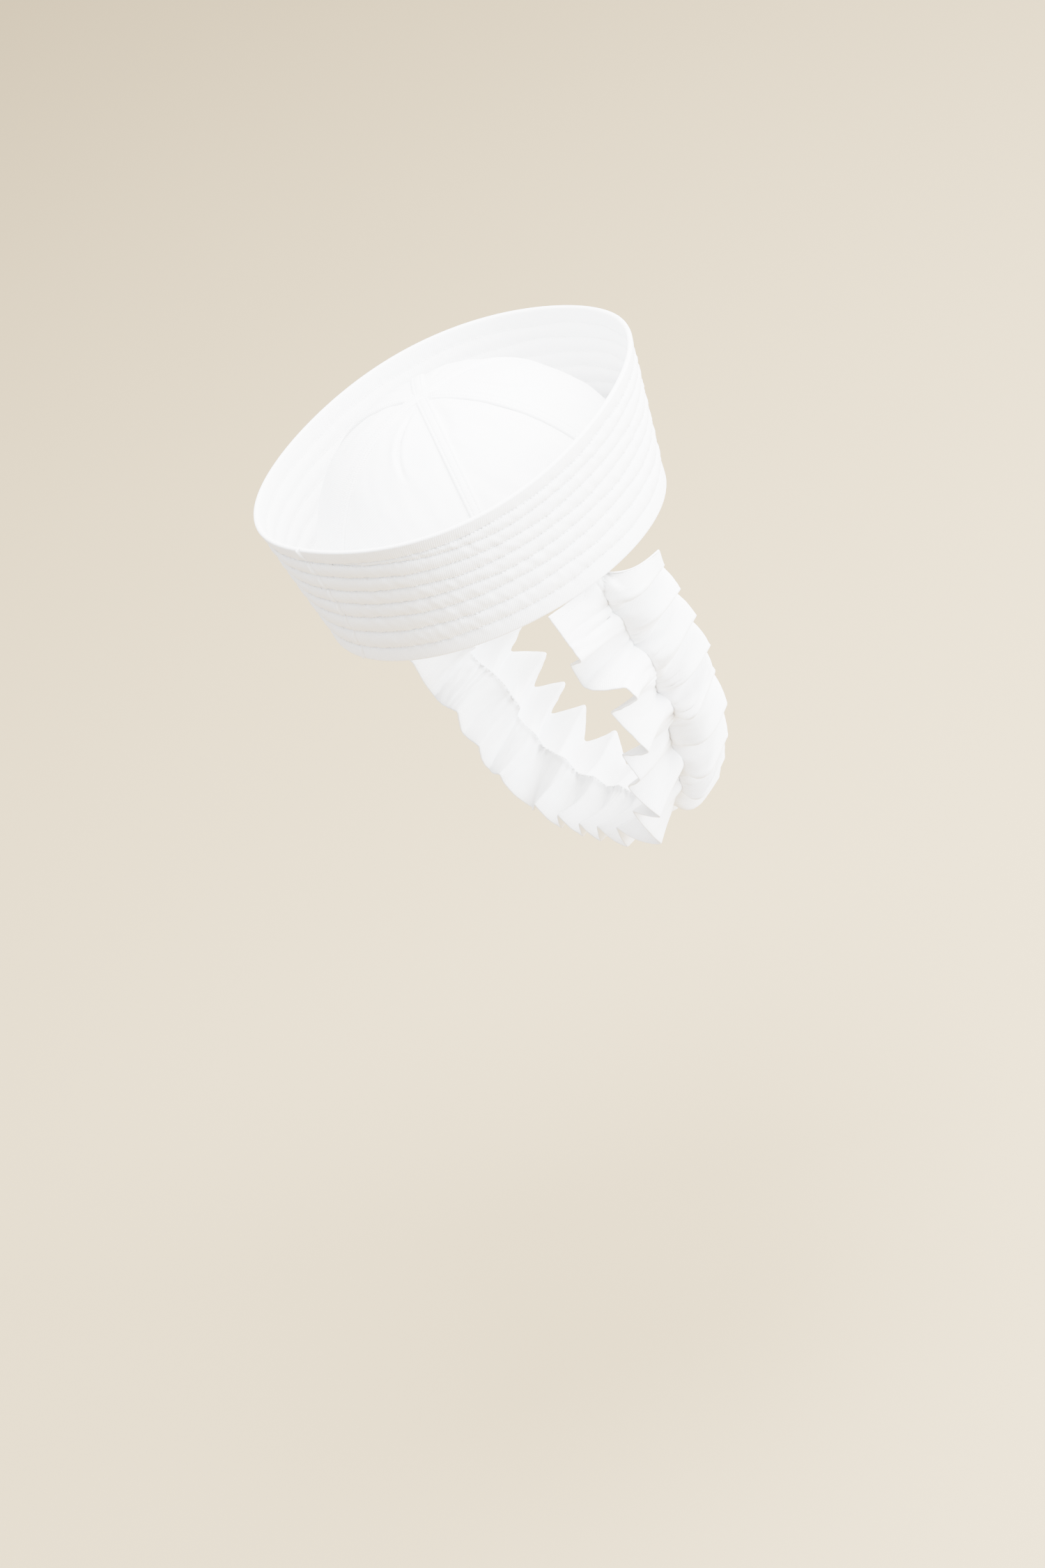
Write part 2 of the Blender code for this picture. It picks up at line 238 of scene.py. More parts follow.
BRIM_ROWS = (
    StitchRow(start=0.110, side=0.125, end=0.110),
    StitchRow(start=0.260, side=0.255, end=0.110),
    StitchRow(start=0.400, side=0.377, end=0.260),
    StitchRow(start=0.525, side=0.487, end=0.400),
    StitchRow(start=0.645, side=0.595, end=0.525),
    StitchRow(start=0.770, side=0.700, end=0.645),
    StitchRow(start=0.890, side=0.805, end=0.770),
    StitchRow(start=0.890, side=0.900, end=0.890),
)


class CrownSeam(NamedTuple):
    """A felled seam between two gores: its angle at the base and at the top, in degrees, and how far its
    end sinks under the seam that runs on over the top."""

    base: float
    top: float
    under: float


CROWN_SEAMS = (
    CrownSeam(base=26, top=26, under=0.0010),
    CrownSeam(base=86, top=86, under=0.0),
    CrownSeam(base=152, top=153, under=0.0008),
    CrownSeam(base=211, top=197, under=0.0011),
    CrownSeam(base=278, top=266, under=0.0),
    CrownSeam(base=330, top=328, under=0.0008),
)


class Crease(NamedTuple):
    """A crease of the crown: its angle, bend and bow in degrees, and its two ends as shares of the way
    down from the top."""

    angle: float
    bend: float
    bow: float
    high: float
    low: float
    depth: float
    width: float


CROWN_CREASES = (
    Crease(angle=125, bend=3, bow=-6, high=0.05, low=0.38, depth=0.0031, width=0.0018),
    Crease(angle=232, bend=0, bow=-14, high=0.08, low=0.42, depth=0.0031, width=0.0018),
    Crease(angle=168, bend=-11, bow=0, high=0.03, low=0.30, depth=0.0019, width=0.0040),
    Crease(angle=174, bend=28, bow=4, high=0.06, low=0.38, depth=0.0019, width=0.0042),
    Crease(angle=68, bend=-8, bow=3, high=0.06, low=0.32, depth=0.0011, width=0.0022),
    Crease(angle=300, bend=-8, bow=4, high=0.05, low=0.32, depth=0.0010, width=0.0022),
    Crease(angle=356, bend=6, bow=-4, high=0.06, low=0.34, depth=0.0010, width=0.0024),
)


class FoldLine(NamedTuple):
    """A ridge or valley of the ruffle: where it starts on the gathering and ends on the edge, as shares
    of half the loop, its slope in degrees and the share of the flap's width it reaches."""

    start: float
    end: float
    slope: float
    reach: float


FRONT_LINES = (
    FoldLine(start=0.019, end=0.002, slope=34, reach=1.00),
    FoldLine(start=0.079, end=0.049, slope=36, reach=0.95),
    FoldLine(start=0.102, end=0.07, slope=5, reach=0.95),
    FoldLine(start=0.176, end=0.135, slope=33, reach=0.98),
    FoldLine(start=0.223, end=0.167, slope=4, reach=0.94),
    FoldLine(start=0.288, end=0.223, slope=34, reach=0.99),
    FoldLine(start=0.33, end=0.26, slope=2, reach=0.94),
    FoldLine(start=0.385, end=0.313, slope=38, reach=0.97),
    FoldLine(start=0.418, end=0.344, slope=5, reach=0.93),
    FoldLine(start=0.469, end=0.39, slope=42, reach=0.86),
    FoldLine(start=0.502, end=0.437, slope=1, reach=0.92),
    FoldLine(start=0.571, end=0.506, slope=40, reach=0.86),
    FoldLine(start=0.613, end=0.548, slope=2, reach=0.92),
    FoldLine(start=0.664, end=0.608, slope=40, reach=0.81),
    FoldLine(start=0.697, end=0.641, slope=4, reach=0.92),
    FoldLine(start=0.734, end=0.678, slope=42, reach=0.77),
    FoldLine(start=0.771, end=0.72, slope=4, reach=0.92),
    FoldLine(start=0.813, end=0.771, slope=38, reach=0.84),
    FoldLine(start=0.855, end=0.827, slope=4, reach=0.93),
    FoldLine(start=0.896, end=0.878, slope=34, reach=0.88),
    FoldLine(start=0.943, end=0.934, slope=4, reach=0.94),
    FoldLine(start=1.0, end=1.0, slope=28, reach=0.92),
)

BACK_LINES = (
    FoldLine(start=0.019, end=0.005, slope=3, reach=1.00),
    FoldLine(start=0.158, end=0.158, slope=10, reach=1.00),
    FoldLine(start=0.176, end=0.186, slope=-13, reach=0.99),
    FoldLine(start=0.204, end=0.265, slope=-12, reach=0.99),
    FoldLine(start=0.232, end=0.251, slope=20, reach=1.00),
    FoldLine(start=0.26, end=0.246, slope=38, reach=1.00),
    FoldLine(start=0.293, end=0.29, slope=43, reach=1.00),
    FoldLine(start=0.353, end=0.337, slope=9, reach=0.98),
    FoldLine(start=0.418, end=0.467, slope=31, reach=1.00),
    FoldLine(start=0.511, end=0.511, slope=-3, reach=0.97),
    FoldLine(start=0.548, end=0.574, slope=16, reach=0.99),
    FoldLine(start=0.594, end=0.625, slope=0, reach=0.98),
    FoldLine(start=0.632, end=0.687, slope=35, reach=1.00),
    FoldLine(start=0.701, end=0.713, slope=7, reach=0.97),
    FoldLine(start=0.748, end=0.799, slope=48, reach=1.00),
    FoldLine(start=0.808, end=0.836, slope=5, reach=0.97),
    FoldLine(start=0.855, end=0.887, slope=36, reach=0.98),
    FoldLine(start=0.906, end=0.92, slope=3, reach=0.96),
    FoldLine(start=0.952, end=0.966, slope=30, reach=0.98),
    FoldLine(start=1.0, end=1.0, slope=5, reach=0.96),
)


class Swell(NamedTuple):
    """How far the gathering stands out from the strap's plain line at a place down it, both as shares
    of half the loop."""

    place: float
    rise: float


GATHER_SWELLS = (
    Swell(place=0.019, rise=0.002),
    Swell(place=0.042, rise=0.016),
    Swell(place=0.084, rise=0.007),
    Swell(place=0.121, rise=-0.002),
    Swell(place=0.135, rise=0.03),
    Swell(place=0.158, rise=0.023),
    Swell(place=0.195, rise=0.014),
    Swell(place=0.232, rise=0.009),
    Swell(place=0.255, rise=0.051),
    Swell(place=0.307, rise=0.046),
    Swell(place=0.358, rise=0.014),
    Swell(place=0.404, rise=-0.002),
    Swell(place=0.418, rise=0.046),
    Swell(place=0.446, rise=0.044),
    Swell(place=0.502, rise=0.014),
    Swell(place=0.539, rise=-0.005),
    Swell(place=0.613, rise=-0.002),
    Swell(place=0.627, rise=0.042),
    Swell(place=0.655, rise=0.039),
    Swell(place=0.697, rise=0.028),
    Swell(place=0.725, rise=0.042),
    Swell(place=0.799, rise=0.009),
    Swell(place=0.845, rise=0.033),
    Swell(place=0.901, rise=0.009),
    Swell(place=0.947, rise=0.028),
    Swell(place=1.0, rise=0.009),
)


class Relief(NamedTuple):
    """Small folds that the cloth settles into: their depth, their length and width on the cloth, how
    they slant on it, and the seed of their noise."""

    depth: float
    length: float
    width: float
    slant: float
    seed: float


BRIM_DRAG = Relief(depth=0.00085, length=0.0120, width=0.0036, slant=math.radians(48), seed=3.0)
GORE_DRAPE = Relief(depth=0.00130, length=0.0340, width=0.0150, slant=math.radians(70), seed=11.0)
STRAP_CRUSH = Relief(depth=0.00100, length=0.0160, width=0.0080, slant=math.radians(90), seed=23.0)


class Ripple(NamedTuple):
    """One part of a stitch row's unevenness: its waves in a turn, the share of a wave by which each row
    shifts it, and its share of ROW_WOBBLE."""

    waves: int
    shift: float
    share: float


ROW_RIPPLES = (
    Ripple(waves=9, shift=0.37, share=1.0),
    Ripple(waves=17, shift=0.61, share=0.6),
)


class PleatWave(NamedTuple):
    """How a trait of the small pleats changes along the gathering: by how much, over what length, and
    by what angle it is shifted on each side."""

    size: float
    length: float
    shift: float


PLEAT_WANDERS = (PleatWave(size=1.8, length=0.037, shift=1), PleatWave(size=1.1, length=0.0183, shift=2))
PLEAT_STRENGTH = PleatWave(size=0.40, length=0.0271, shift=3)
PLEAT_REACH = PleatWave(size=0.6, length=0.0163, shift=5)


class Flap(NamedTuple):
    """One side of the ruffle: the way it runs from the gathering, its folds, its width, how far it
    pillows out, how soon it rises, and the depth and reach of its small pleats."""

    side: float
    lines: tuple
    width: float
    pillow: float
    rise_curve: float
    pleat_depth: float
    pleat_reach: float


FRONT_FLAP = Flap(
    side=-1.0,
    lines=FRONT_LINES,
    width=FRONT_WIDTH,
    pillow=0.0050,
    rise_curve=0.72,
    pleat_depth=0.0042,
    pleat_reach=0.0120,
)
BACK_FLAP = Flap(
    side=1.0,
    lines=BACK_LINES,
    width=BACK_WIDTH,
    pillow=0.0015,
    rise_curve=1.0,
    pleat_depth=0.0030,
    pleat_reach=0.0075,
)


class Weave(NamedTuple):
    """How the twill lies in a piece: its material, the turn of its ribs and their share of the depth."""

    material: str
    rib_turn: float
    rib_share: float


GORE_WEAVE = Weave(material="gore_twill", rib_turn=math.radians(58), rib_share=1.0)
BRIM_WEAVE = Weave(material="brim_twill", rib_turn=math.radians(10), rib_share=0.8)
STRAP_WEAVE = Weave(material="strap_twill", rib_turn=math.radians(28), rib_share=0.6)


class Lamp(NamedTuple):
    """A large square light that looks at the cap; share is its part of the main light's power."""

    name: str
    place: tuple
    size: float
    share: float
    colour: tuple


LAMPS = (
    Lamp(name="top_light", place=(-0.4, -0.5, 2.4), size=2.2, share=1.0, colour=(1.0, 1.0, 1.0)),
    Lamp(name="key_light", place=(-1.8, -1.5, 1.3), size=1.6, share=0.42, colour=(1.0, 1.0, 1.0)),
    Lamp(name="front_light", place=(-2.0, -1.2, -0.1), size=1.6, share=0.46, colour=(0.80, 0.90, 1.0)),
)


def colour_property(name, description, default):
    return FloatVectorProperty(
        name=name, description=description, default=default, subtype="COLOR", size=4, min=0.0, max=1.0
    )


def length_property(name, description, default, least):
    return FloatProperty(name=name, description=description, default=default, min=least, unit="LENGTH")


class ClothSettings(bpy.types.PropertyGroup):
    """The cotton of the cap"""

    colour: colour_property(
        name="Cloth Colour",
        description="Colour of the twill on the crests of its ribs",
        default=(0.930, 0.930, 0.928, 1.0),
    )
    # Painted shade: the twill's colour between its ribs is darkened to stand in for the shade in its
    # grooves
    rib_colour: colour_property(
        name="Rib Shade",
        description="Colour of the twill between its ribs",
        default=(0.895, 0.895, 0.895, 1.0),
    )
    rib_pitch: length_property(
        name="Rib Pitch",
        description="Distance from one rib of the twill to the next",
        default=0.0011,
        least=0.0003,
    )
    rib_depth: length_property(
        name="Rib Depth",
        description="Height of the ribs of the twill",
        default=0.00020,
        least=0.0,
    )
    thickness: length_property(
        name="Cloth Thickness",
        description="Thickness of the crown's cloth and of the doubled strap",
        default=0.0012,
        least=0.0003,
    )
    channel_depth: length_property(
        name="Channel Depth",
        description="How deep the stitching pulls into the outer face of the brim",
        default=0.0019,
        least=0.0,
    )


class StitchSettings(bpy.types.PropertyGroup):
    """The sewing thread"""

    colour: colour_property(
        name="Thread Colour",
        description="Colour of the sewing thread",
        default=(0.930, 0.930, 0.925, 1.0),
    )
    pitch: length_property(
        name="Stitch Pitch",
        description="Distance from one stitch to the next",
        default=0.0024,
        least=0.0005,
    )
    length: length_property(
        name="Stitch Length",
        description="Length of thread that shows in one stitch",
        default=0.0019,
        least=0.0003,
    )
    radius: length_property(
        name="Thread Radius",
        description="Radius of the sewing thread",
        default=0.00036,
        least=0.00005,
    )


class StageSettings(bpy.types.PropertyGroup):
    """The floor and the light"""

    floor_colour: colour_property(
        name="Floor Colour",
        description="Colour of the plain floor",
        default=(0.338, 0.262, 0.182, 1.0),
    )
    floor_drop: length_property(
        name="Floor Drop",
        description="How far the floor lies below the cap's lower edge",
        default=0.50,
        least=0.0,
    )
    sky: FloatProperty(
        name="Room Light",
        description="Strength of the even light from all round",
        default=0.36,
        min=0.0,
    )
    key: FloatProperty(
        name="Main Light",
        description="Power of the large soft light overhead, in watts",
        default=66.0,
        min=0.0,
    )


def settings():
    return bpy.context.scene.sailor_cap_cloth


# Meshes


def lengths_along(points, axis):
    """Distances from the first to each of the points along one axis of a grid."""
    steps = np.linalg.norm(np.diff(points, axis=axis), axis=-1)
    first = np.zeros_like(np.take(steps, [0], axis=axis))
    return np.concatenate([first, np.cumsum(steps, axis=axis)], axis=axis)


def smooth_step(value):
    value = np.clip(value, 0.0, 1.0)
    return value * value * (3 - 2 * value)


def bump_shape(value):
    """A smooth bump of height one at zero that has faded out at two."""
    return np.exp(-value * value)


def arch(share):
    """Half a sine wave over the shares from 0 to 1, and nothing past them."""
    return np.sin(math.pi * np.clip(share, 0, 1))


def cloth_mesh(name, points, lie, section_closes=False):
    """A mesh of quads over a grid of points. lie is each point's place on the flat cloth, in metres,
    kept as a UV map for the weave and as an attribute for the small folds."""
    rows, columns = points.shape[:2]
    numbers = np.arange(rows * columns).reshape(rows, columns)
    uvs = lie.reshape(-1, 2)
    if section_closes:
        numbers = np.vstack([numbers, numbers[:1]])
    lower, upper = numbers[:-1], numbers[1:]
    corners = np.stack([lower[:, :-1], lower[:, 1:], upper[:, 1:], upper[:, :-1]], axis=-1).reshape(-1, 4)
    mesh = bpy.data.meshes.new(name)
    mesh.from_pydata(points.reshape(-1, 3).tolist(), [], corners.tolist())
    layer = mesh.uv_layers.new(name="cloth")
    layer.data.foreach_set("uv", uvs[corners.ravel()].astype(np.float32).ravel())
    place = mesh.attributes.new("lie", "FLOAT_VECTOR", "POINT")
    flat = np.concatenate([uvs, np.zeros((len(uvs), 1))], axis=1)
    place.data.foreach_set("vector", flat.astype(np.float32).ravel())
    mesh.shade_smooth()
    return mesh


def closed_up(mesh):
    """Weld the places where the grid meets itself, and turn all faces outwards."""
    work = bmesh.new()
    work.from_mesh(mesh)
    bmesh.ops.remove_doubles(work, verts=work.verts, dist=1e-6)
    bmesh.ops.dissolve_degenerate(work, dist=1e-7, edges=work.edges)
    bmesh.ops.recalc_face_normals(work, faces=work.faces)
    work.to_mesh(mesh)
    work.free()
    mesh.shade_smooth()


def add_object(name, mesh, material):
    mesh.materials.clear()
    mesh.materials.append(material)
    piece = bpy.data.objects.new(name, mesh)
    bpy.context.scene.collection.objects.link(piece)
    return piece


def made_plain(piece, name):
    """The mesh that an object's modifiers give, as an object with none."""
    graph = bpy.context.evaluated_depsgraph_get()
    mesh = bpy.data.meshes.new_from_object(piece.evaluated_get(graph))
    material = piece.data.materials[0]
    bpy.data.objects.remove(piece, do_unlink=True)
    return add_object(name, mesh, material)


def grid_normals(points):
    """Unit normals of a grid of points."""
    across = np.gradient(points, axis=0)
    along = np.gradient(points, axis=1)
    normals = np.cross(along, across)
    return normals / np.maximum(np.linalg.norm(normals, axis=-1, keepdims=True), 1e-12)


def rounded_ends(points, lie, wall):
    """The grid with each end drawn in to a round, and half the wall at each of its columns."""
    turned = np.linspace(0, math.pi / 2, RIM_CELLS)
    back, half = wall / 2 * (1 - np.cos(turned)), wall / 2 * np.sin(turned)

    def drawn_in(grid, scale):
        first, last = grid[:, 1:2] - grid[:, :1], grid[:, -2:-1] - grid[:, -1:]
        start = grid[:, :1] + first * (back[None, :, None] / scale(first))
        end = grid[:, -1:] + last * (back[None, ::-1, None] / scale(last))
        return np.concatenate([start, grid[:, 1:-1], end], axis=1)

    def length(steps):
        return np.maximum(np.linalg.norm(steps, axis=-1, keepdims=True), 1e-9)

    columns = points.shape[1] - 2
    halves = np.concatenate([half, np.full(columns, wall / 2), half[::-1]])
    return drawn_in(points, length), drawn_in(lie, length), halves


def cloth_shell(name, points, lie, wall, material):
    """A cloth of even thickness about a grid of points, with rounded edges and ends."""
    points, lie, halves = rounded_ends(points, lie, wall)
    normals = grid_normals(points)
    halves = halves[:, None]
    faces, places = [points + normals * halves], [lie]
    for row, beside, sign in ((-1, -2, 1.0), (0, 1, -1.0)):
        away = points[row] - points[beside]
        away /= np.maximum(np.linalg.norm(away, axis=-1, keepdims=True), 1e-12)
        for step in range(1, RIM_CELLS):
            turned = math.pi * step / RIM_CELLS
            round_off = normals[row] * (sign * math.cos(turned)) + away * math.sin(turned)
            faces.append((points[row] + round_off * halves)[None])
            past_edge = (1.0 if row else -1.0) * wall * step / RIM_CELLS
            places.append(lie[row][None] + np.array([0.0, past_edge]))
        if sign > 0:
            faces.append((points - normals * halves)[::-1])
            places.append(lie[::-1])
    mesh = cloth_mesh(name, np.concatenate(faces), np.concatenate(places), section_closes=True)
    closed_up(mesh)
    return add_object(name, mesh, material)


# Node trees


def add_node(tree, kind, inputs=None, **choices):
    """A node with its choices made, and its inputs joined to other nodes or set to values."""
    node = tree.nodes.new(kind)
    for choice, value in choices.items():
        setattr(node, choice, value)
    for key, value in (inputs or {}).items():
        if isinstance(value, bpy.types.NodeSocket):
            tree.links.new(value, node.inputs[key])
        else:
            node.inputs[key].default_value = value
    return node


def add_math(tree, operation, first, second):
    return add_node(tree, "ShaderNodeMath", {0: first, 1: second}, operation=operation).outputs[0]


def add_noise(tree, place, scale):
    inputs = {"Vector": place, "Scale": scale, "Detail": 2.0}
    return add_node(tree, "ShaderNodeTexNoise", inputs).outputs["Fac"]


def mixed_colour(tree, share, low, high):
    """A colour that lies between two, at a share of the way."""
    return add_node(tree, "ShaderNodeMix", {"Factor": share, 6: low, 7: high}, data_type="RGBA").outputs[2]


def geometry_tree(name, inputs):
    """A new tree that takes a geometry and other named inputs, and gives a geometry."""
    tree = bpy.data.node_groups.new(name, "GeometryNodeTree")
    for label, kind in (("Geometry", "Geometry"), *inputs):
        tree.interface.new_socket(name=label, in_out="INPUT", socket_type="NodeSocket" + kind)
    tree.interface.new_socket(name="Geometry", in_out="OUTPUT", socket_type="NodeSocketGeometry")
    return tree, tree.nodes.new("NodeGroupInput").outputs, tree.nodes.new("NodeGroupOutput").inputs


def run_tree(piece, tree, values):
    """Give an object a tree as its modifier, with the tree's inputs set by their sockets' identifiers."""
    modifier = piece.modifiers.new(tree.name, "NODES")
    modifier.node_group = tree
    for item in tree.interface.items_tree:
        if item.item_type == "SOCKET" and item.in_out == "INPUT" and item.name in values:
            modifier[item.identifier] = values[item.name]


def relief_tree():
    """A tree that pushes cloth in and out by a noise that lies slantwise on it."""
    name = "Cloth Relief"
    if name in bpy.data.node_groups:
        return bpy.data.node_groups[name]
    labels = ("Depth", "Length", "Width", "Slant", "Seed")
    tree, given, result = geometry_tree(name, [(label, "Float") for label in labels])
    place = add_node(tree, "GeometryNodeInputNamedAttribute", {"Name": "lie"}, data_type="FLOAT_VECTOR")
    turned = add_node(
        tree,
        "ShaderNodeVectorRotate",
        {"Vector": place.outputs["Attribute"], "Angle": given["Slant"]},
        rotation_type="Z_AXIS",
    )
    sizes = add_node(tree, "ShaderNodeCombineXYZ", {"X": given["Length"], "Y": given["Width"], "Z": 1.0})
    stretched = add_node(
        tree, "ShaderNodeVectorMath", {0: turned.outputs[0], 1: sizes.outputs[0]}, operation="DIVIDE"
    )
    noise = add_node(
        tree,
        "ShaderNodeTexNoise",
        {"Vector": stretched.outputs[0], "W": given["Seed"], "Scale": 1.0, "Detail": 1.0},
        noise_dimensions="4D",
    )
    loose = add_node(tree, "GeometryNodeInputNamedAttribute", {"Name": "loose"}, data_type="FLOAT")
    swing = add_math(tree, "SUBTRACT", noise.outputs[0], 0.5)
    push = add_math(tree, "MULTIPLY", swing, given["Depth"])
    push = add_math(tree, "MULTIPLY", push, loose.outputs["Attribute"])
    normal = tree.nodes.new("GeometryNodeInputNormal")
    offset = add_node(
        tree,
        "ShaderNodeVectorMath",
        {0: normal.outputs[0], "Scale": add_math(tree, "MULTIPLY", push, 2.0)},
        operation="SCALE",
    )
    moved = add_node(
        tree, "GeometryNodeSetPosition", {"Geometry": given["Geometry"], "Offset": offset.outputs[0]}
    )
    tree.links.new(moved.outputs[0], result["Geometry"])
    return tree


def add_relief(piece, relief, loose):
    """Small folds on a cloth; loose says how free each of its points is to move, from 0 to 1."""
    weight = piece.data.attributes.new("loose", "FLOAT", "POINT")
    weight.data.foreach_set("value", np.asarray(loose, dtype=np.float32).ravel())
    run_tree(piece, relief_tree(), {field.capitalize(): value for field, value in relief._asdict().items()})


def crumpled(points, lie, relief, loose):
    """A grid of points with small folds pressed into it."""
    cloth = add_object("loose_cloth", cloth_mesh("loose_cloth", points, lie), thread_material())
    add_relief(cloth, relief, loose)
    cloth = made_plain(cloth, "loose_cloth")
    moved = np.empty(points.size, dtype=np.float32)
    cloth.data.vertices.foreach_get("co", moved)
    bpy.data.objects.remove(cloth, do_unlink=True)
    return moved.astype(float).reshape(points.shape)


def stitch_tree():
    """A tree that lays stitches end to end along curves, on the face of a cloth."""
    name = "Stitches"
    if name in bpy.data.node_groups:
        return bpy.data.node_groups[name]
    sizes = [(label, "Float") for label in ("Stitch Pitch", "Stitch Length", "Thread Radius")]
    tree, given, result = geometry_tree(name, [("Cloth", "Object"), *sizes, ("Thread", "Material")])
    along = add_node(
        tree,
        "GeometryNodeCurveToPoints",
        {"Curve": given["Geometry"], "Length": given["Stitch Pitch"]},
        mode="LENGTH",
    )
    cloth = add_node(tree, "GeometryNodeObjectInfo", {"Object": given["Cloth"]})
    nearest = add_node(
        tree, "GeometryNodeProximity", {0: cloth.outputs["Geometry"]}, target_element="FACES"
    )
    seated = add_node(
        tree,
        "GeometryNodeSetPosition",
        {"Geometry": along.outputs["Points"], "Position": nearest.outputs["Position"]},
    )
    turned = add_node(
        tree, "FunctionNodeAlignRotationToVector", {"Vector": along.outputs["Tangent"]}, axis="X"
    )
    stitch = add_node(tree, "GeometryNodeMeshUVSphere", {"Segments": 6, "Rings": 4, "Radius": 1.0})
    half_length = add_math(tree, "MULTIPLY", given["Stitch Length"], 0.5)
    radius = given["Thread Radius"]
    size = add_node(tree, "ShaderNodeCombineXYZ", {"X": half_length, "Y": radius, "Z": radius})
    laid = add_node(
        tree,
        "GeometryNodeInstanceOnPoints",
        {
            "Points": seated.outputs[0],
            "Instance": stitch.outputs["Mesh"],
            "Rotation": turned.outputs[0],
            "Scale": size.outputs[0],
        },
    )
    real = add_node(tree, "GeometryNodeRealizeInstances", {0: laid.outputs[0]})
    painted = add_node(
        tree, "GeometryNodeSetMaterial", {"Geometry": real.outputs[0], "Material": given["Thread"]}
    )
    tree.links.new(painted.outputs[0], result["Geometry"])
    return tree


def lay_stitches(name, lines, cloth, size_share=1.0):
    """Stitches along lines of points, seated on a cloth, as one plain piece."""
    sewing = bpy.context.scene.sailor_cap_stitches
    curve = bpy.data.curves.new(name, "CURVE")
    curve.dimensions = "3D"
    curve.materials.append(thread_material())
    for line in lines:
        spline = curve.splines.new("POLY")
        spline.points.add(len(line) - 1)
        weighted = np.concatenate([line, np.ones((len(line), 1))], axis=1)
        spline.points.foreach_set("co", weighted.astype(np.float32).ravel())
    guide = bpy.data.objects.new(name + "_guide", curve)
    bpy.context.scene.collection.objects.link(guide)
    values = {
        "Cloth": cloth,
        "Stitch Pitch": sewing.pitch,
        "Stitch Length": sewing.length,
        "Thread Radius": sewing.radius * size_share,
        "Thread": thread_material(),
    }
    run_tree(guide, stitch_tree(), values)
    stitches = made_plain(guide, name)
    stitches.data.shade_smooth()
    return stitches


# Materials


def new_material(name, colour, inputs):
    """A material, its tree and its shader, with the shader's colour and other inputs set."""
    material = bpy.data.materials.new(name)
    material.use_nodes = True
    shader = material.node_tree.nodes["Principled BSDF"]
    for label, value in {"Base Color": colour, **inputs}.items():
        shader.inputs[label].default_value = value
    return material, material.node_tree, shader


def dimmed(colour, share):
    return [part * share for part in colour[:3]] + [1.0]


def twill_material(weave):
    """White cotton twill: fine slanting ribs, broken up by the weft, with a soft fuzz on them."""
    if weave.material in bpy.data.materials:
        return bpy.data.materials[weave.material]
    cloth = settings()
    finish = {"Roughness": 0.88, "Specular IOR Level": 0.25, "Sheen Weight": 0.12, "Sheen Roughness": 0.45}
    material, tree, shader = new_material(weave.material, cloth.colour, finish)
    place = add_node(tree, "ShaderNodeUVMap", uv_map="cloth").outputs["UV"]
    turned = add_node(tree, "ShaderNodeMapping", {"Vector": place, "Rotation": (0.0, 0.0, weave.rib_turn)})

    def bands(direction, pitch, inputs):
        sockets = {"Vector": turned.outputs[0], "Scale": WAVE_SCALE / pitch, **inputs}
        wave = add_node(tree, "ShaderNodeTexWave", sockets, wave_type="BANDS", bands_direction=direction)
        return wave.outputs["Fac"]

    ribs = bands("X", cloth.rib_pitch, {"Distortion": 0.7, "Detail": 1.0, "Detail Scale": 1.5})
    weft = bands("Y", cloth.rib_pitch * WEFT_PITCH_SHARE, {"Distortion": 1.2})
    woven = add_math(tree, "ADD", ribs, add_math(tree, "MULTIPLY", weft, WEFT_HEIGHT_SHARE))
    fuzz = add_math(tree, "MULTIPLY", add_noise(tree, place, FUZZ_SCALE), FUZZ_HEIGHT_SHARE)
    raised = add_node(
        tree,
        "ShaderNodeBump",
        {
            "Strength": 0.5,
            "Distance": cloth.rib_depth * weave.rib_share,
            "Height": add_math(tree, "ADD", woven, fuzz),
        },
    )
    tree.links.new(raised.outputs[0], shader.inputs["Normal"])
    # Colour: painted shade between the ribs, where the grooves lie in shade, and random cloudy tone from
    # the noise
    crests = add_math(tree, "ADD", ribs, add_noise(tree, place, CLOUD_SCALE))
    shade = add_math(tree, "MULTIPLY", crests, RIB_SHADE_SHARE)
    tree.links.new(mixed_colour(tree, shade, cloth.rib_colour, cloth.colour), shader.inputs["Base Color"])
    return material


def thread_material():
    """White sewing thread with the twist of its plies, darker in the grooves between them as painted shade.
    """
    name = "sewing_thread"
    if name in bpy.data.materials:
        return bpy.data.materials[name]
    colour = bpy.context.scene.sailor_cap_stitches.colour
    material, tree, shader = new_material(name, colour, {"Roughness": 0.7, "Sheen Weight": 0.2})
    place = tree.nodes.new("ShaderNodeTexCoord").outputs["Object"]
    inputs = {"Vector": place, "Scale": THREAD_TWIST_SCALE}
    twist = add_node(tree, "ShaderNodeTexWave", inputs, bands_direction="DIAGONAL")
    # Painted shade: the grooves of the twist are darkened in the thread's colour
    mixed = mixed_colour(tree, twist.outputs["Fac"], dimmed(colour, THREAD_GROOVE_PAINTED_SHADE), colour)
    tree.links.new(mixed, shader.inputs["Base Color"])
    return material


# Brim


def oval(angle, half_width, half_length):
    sideways, backward = half_width * np.cos(angle), half_length * np.sin(angle)
    return np.stack([sideways, backward, np.zeros_like(angle)], axis=-1)


def brim_point(angle, share, inset):
    """Points of the brim, share of the way from base to rim and inset from its outer face."""
    out = sum(w.out_cos * np.cos(w.turns * angle) + w.out_sin * np.sin(w.turns * angle) for w in RIM_WAVES)
    up = sum(w.up_cos * np.cos(w.turns * angle) + w.up_sin * np.sin(w.turns * angle) for w in RIM_WAVES)
    base = oval(angle, BASE_HALF_WIDTH - inset, BASE_HALF_LENGTH - inset)
    rim = oval(angle, RIM_HALF_WIDTH - inset, RIM_HALF_LENGTH - inset) * (1 + out)[..., None]
    rim[..., 2] = RIM_HEIGHT * (1 + up)
    return base + (rim - base) * share[..., None]


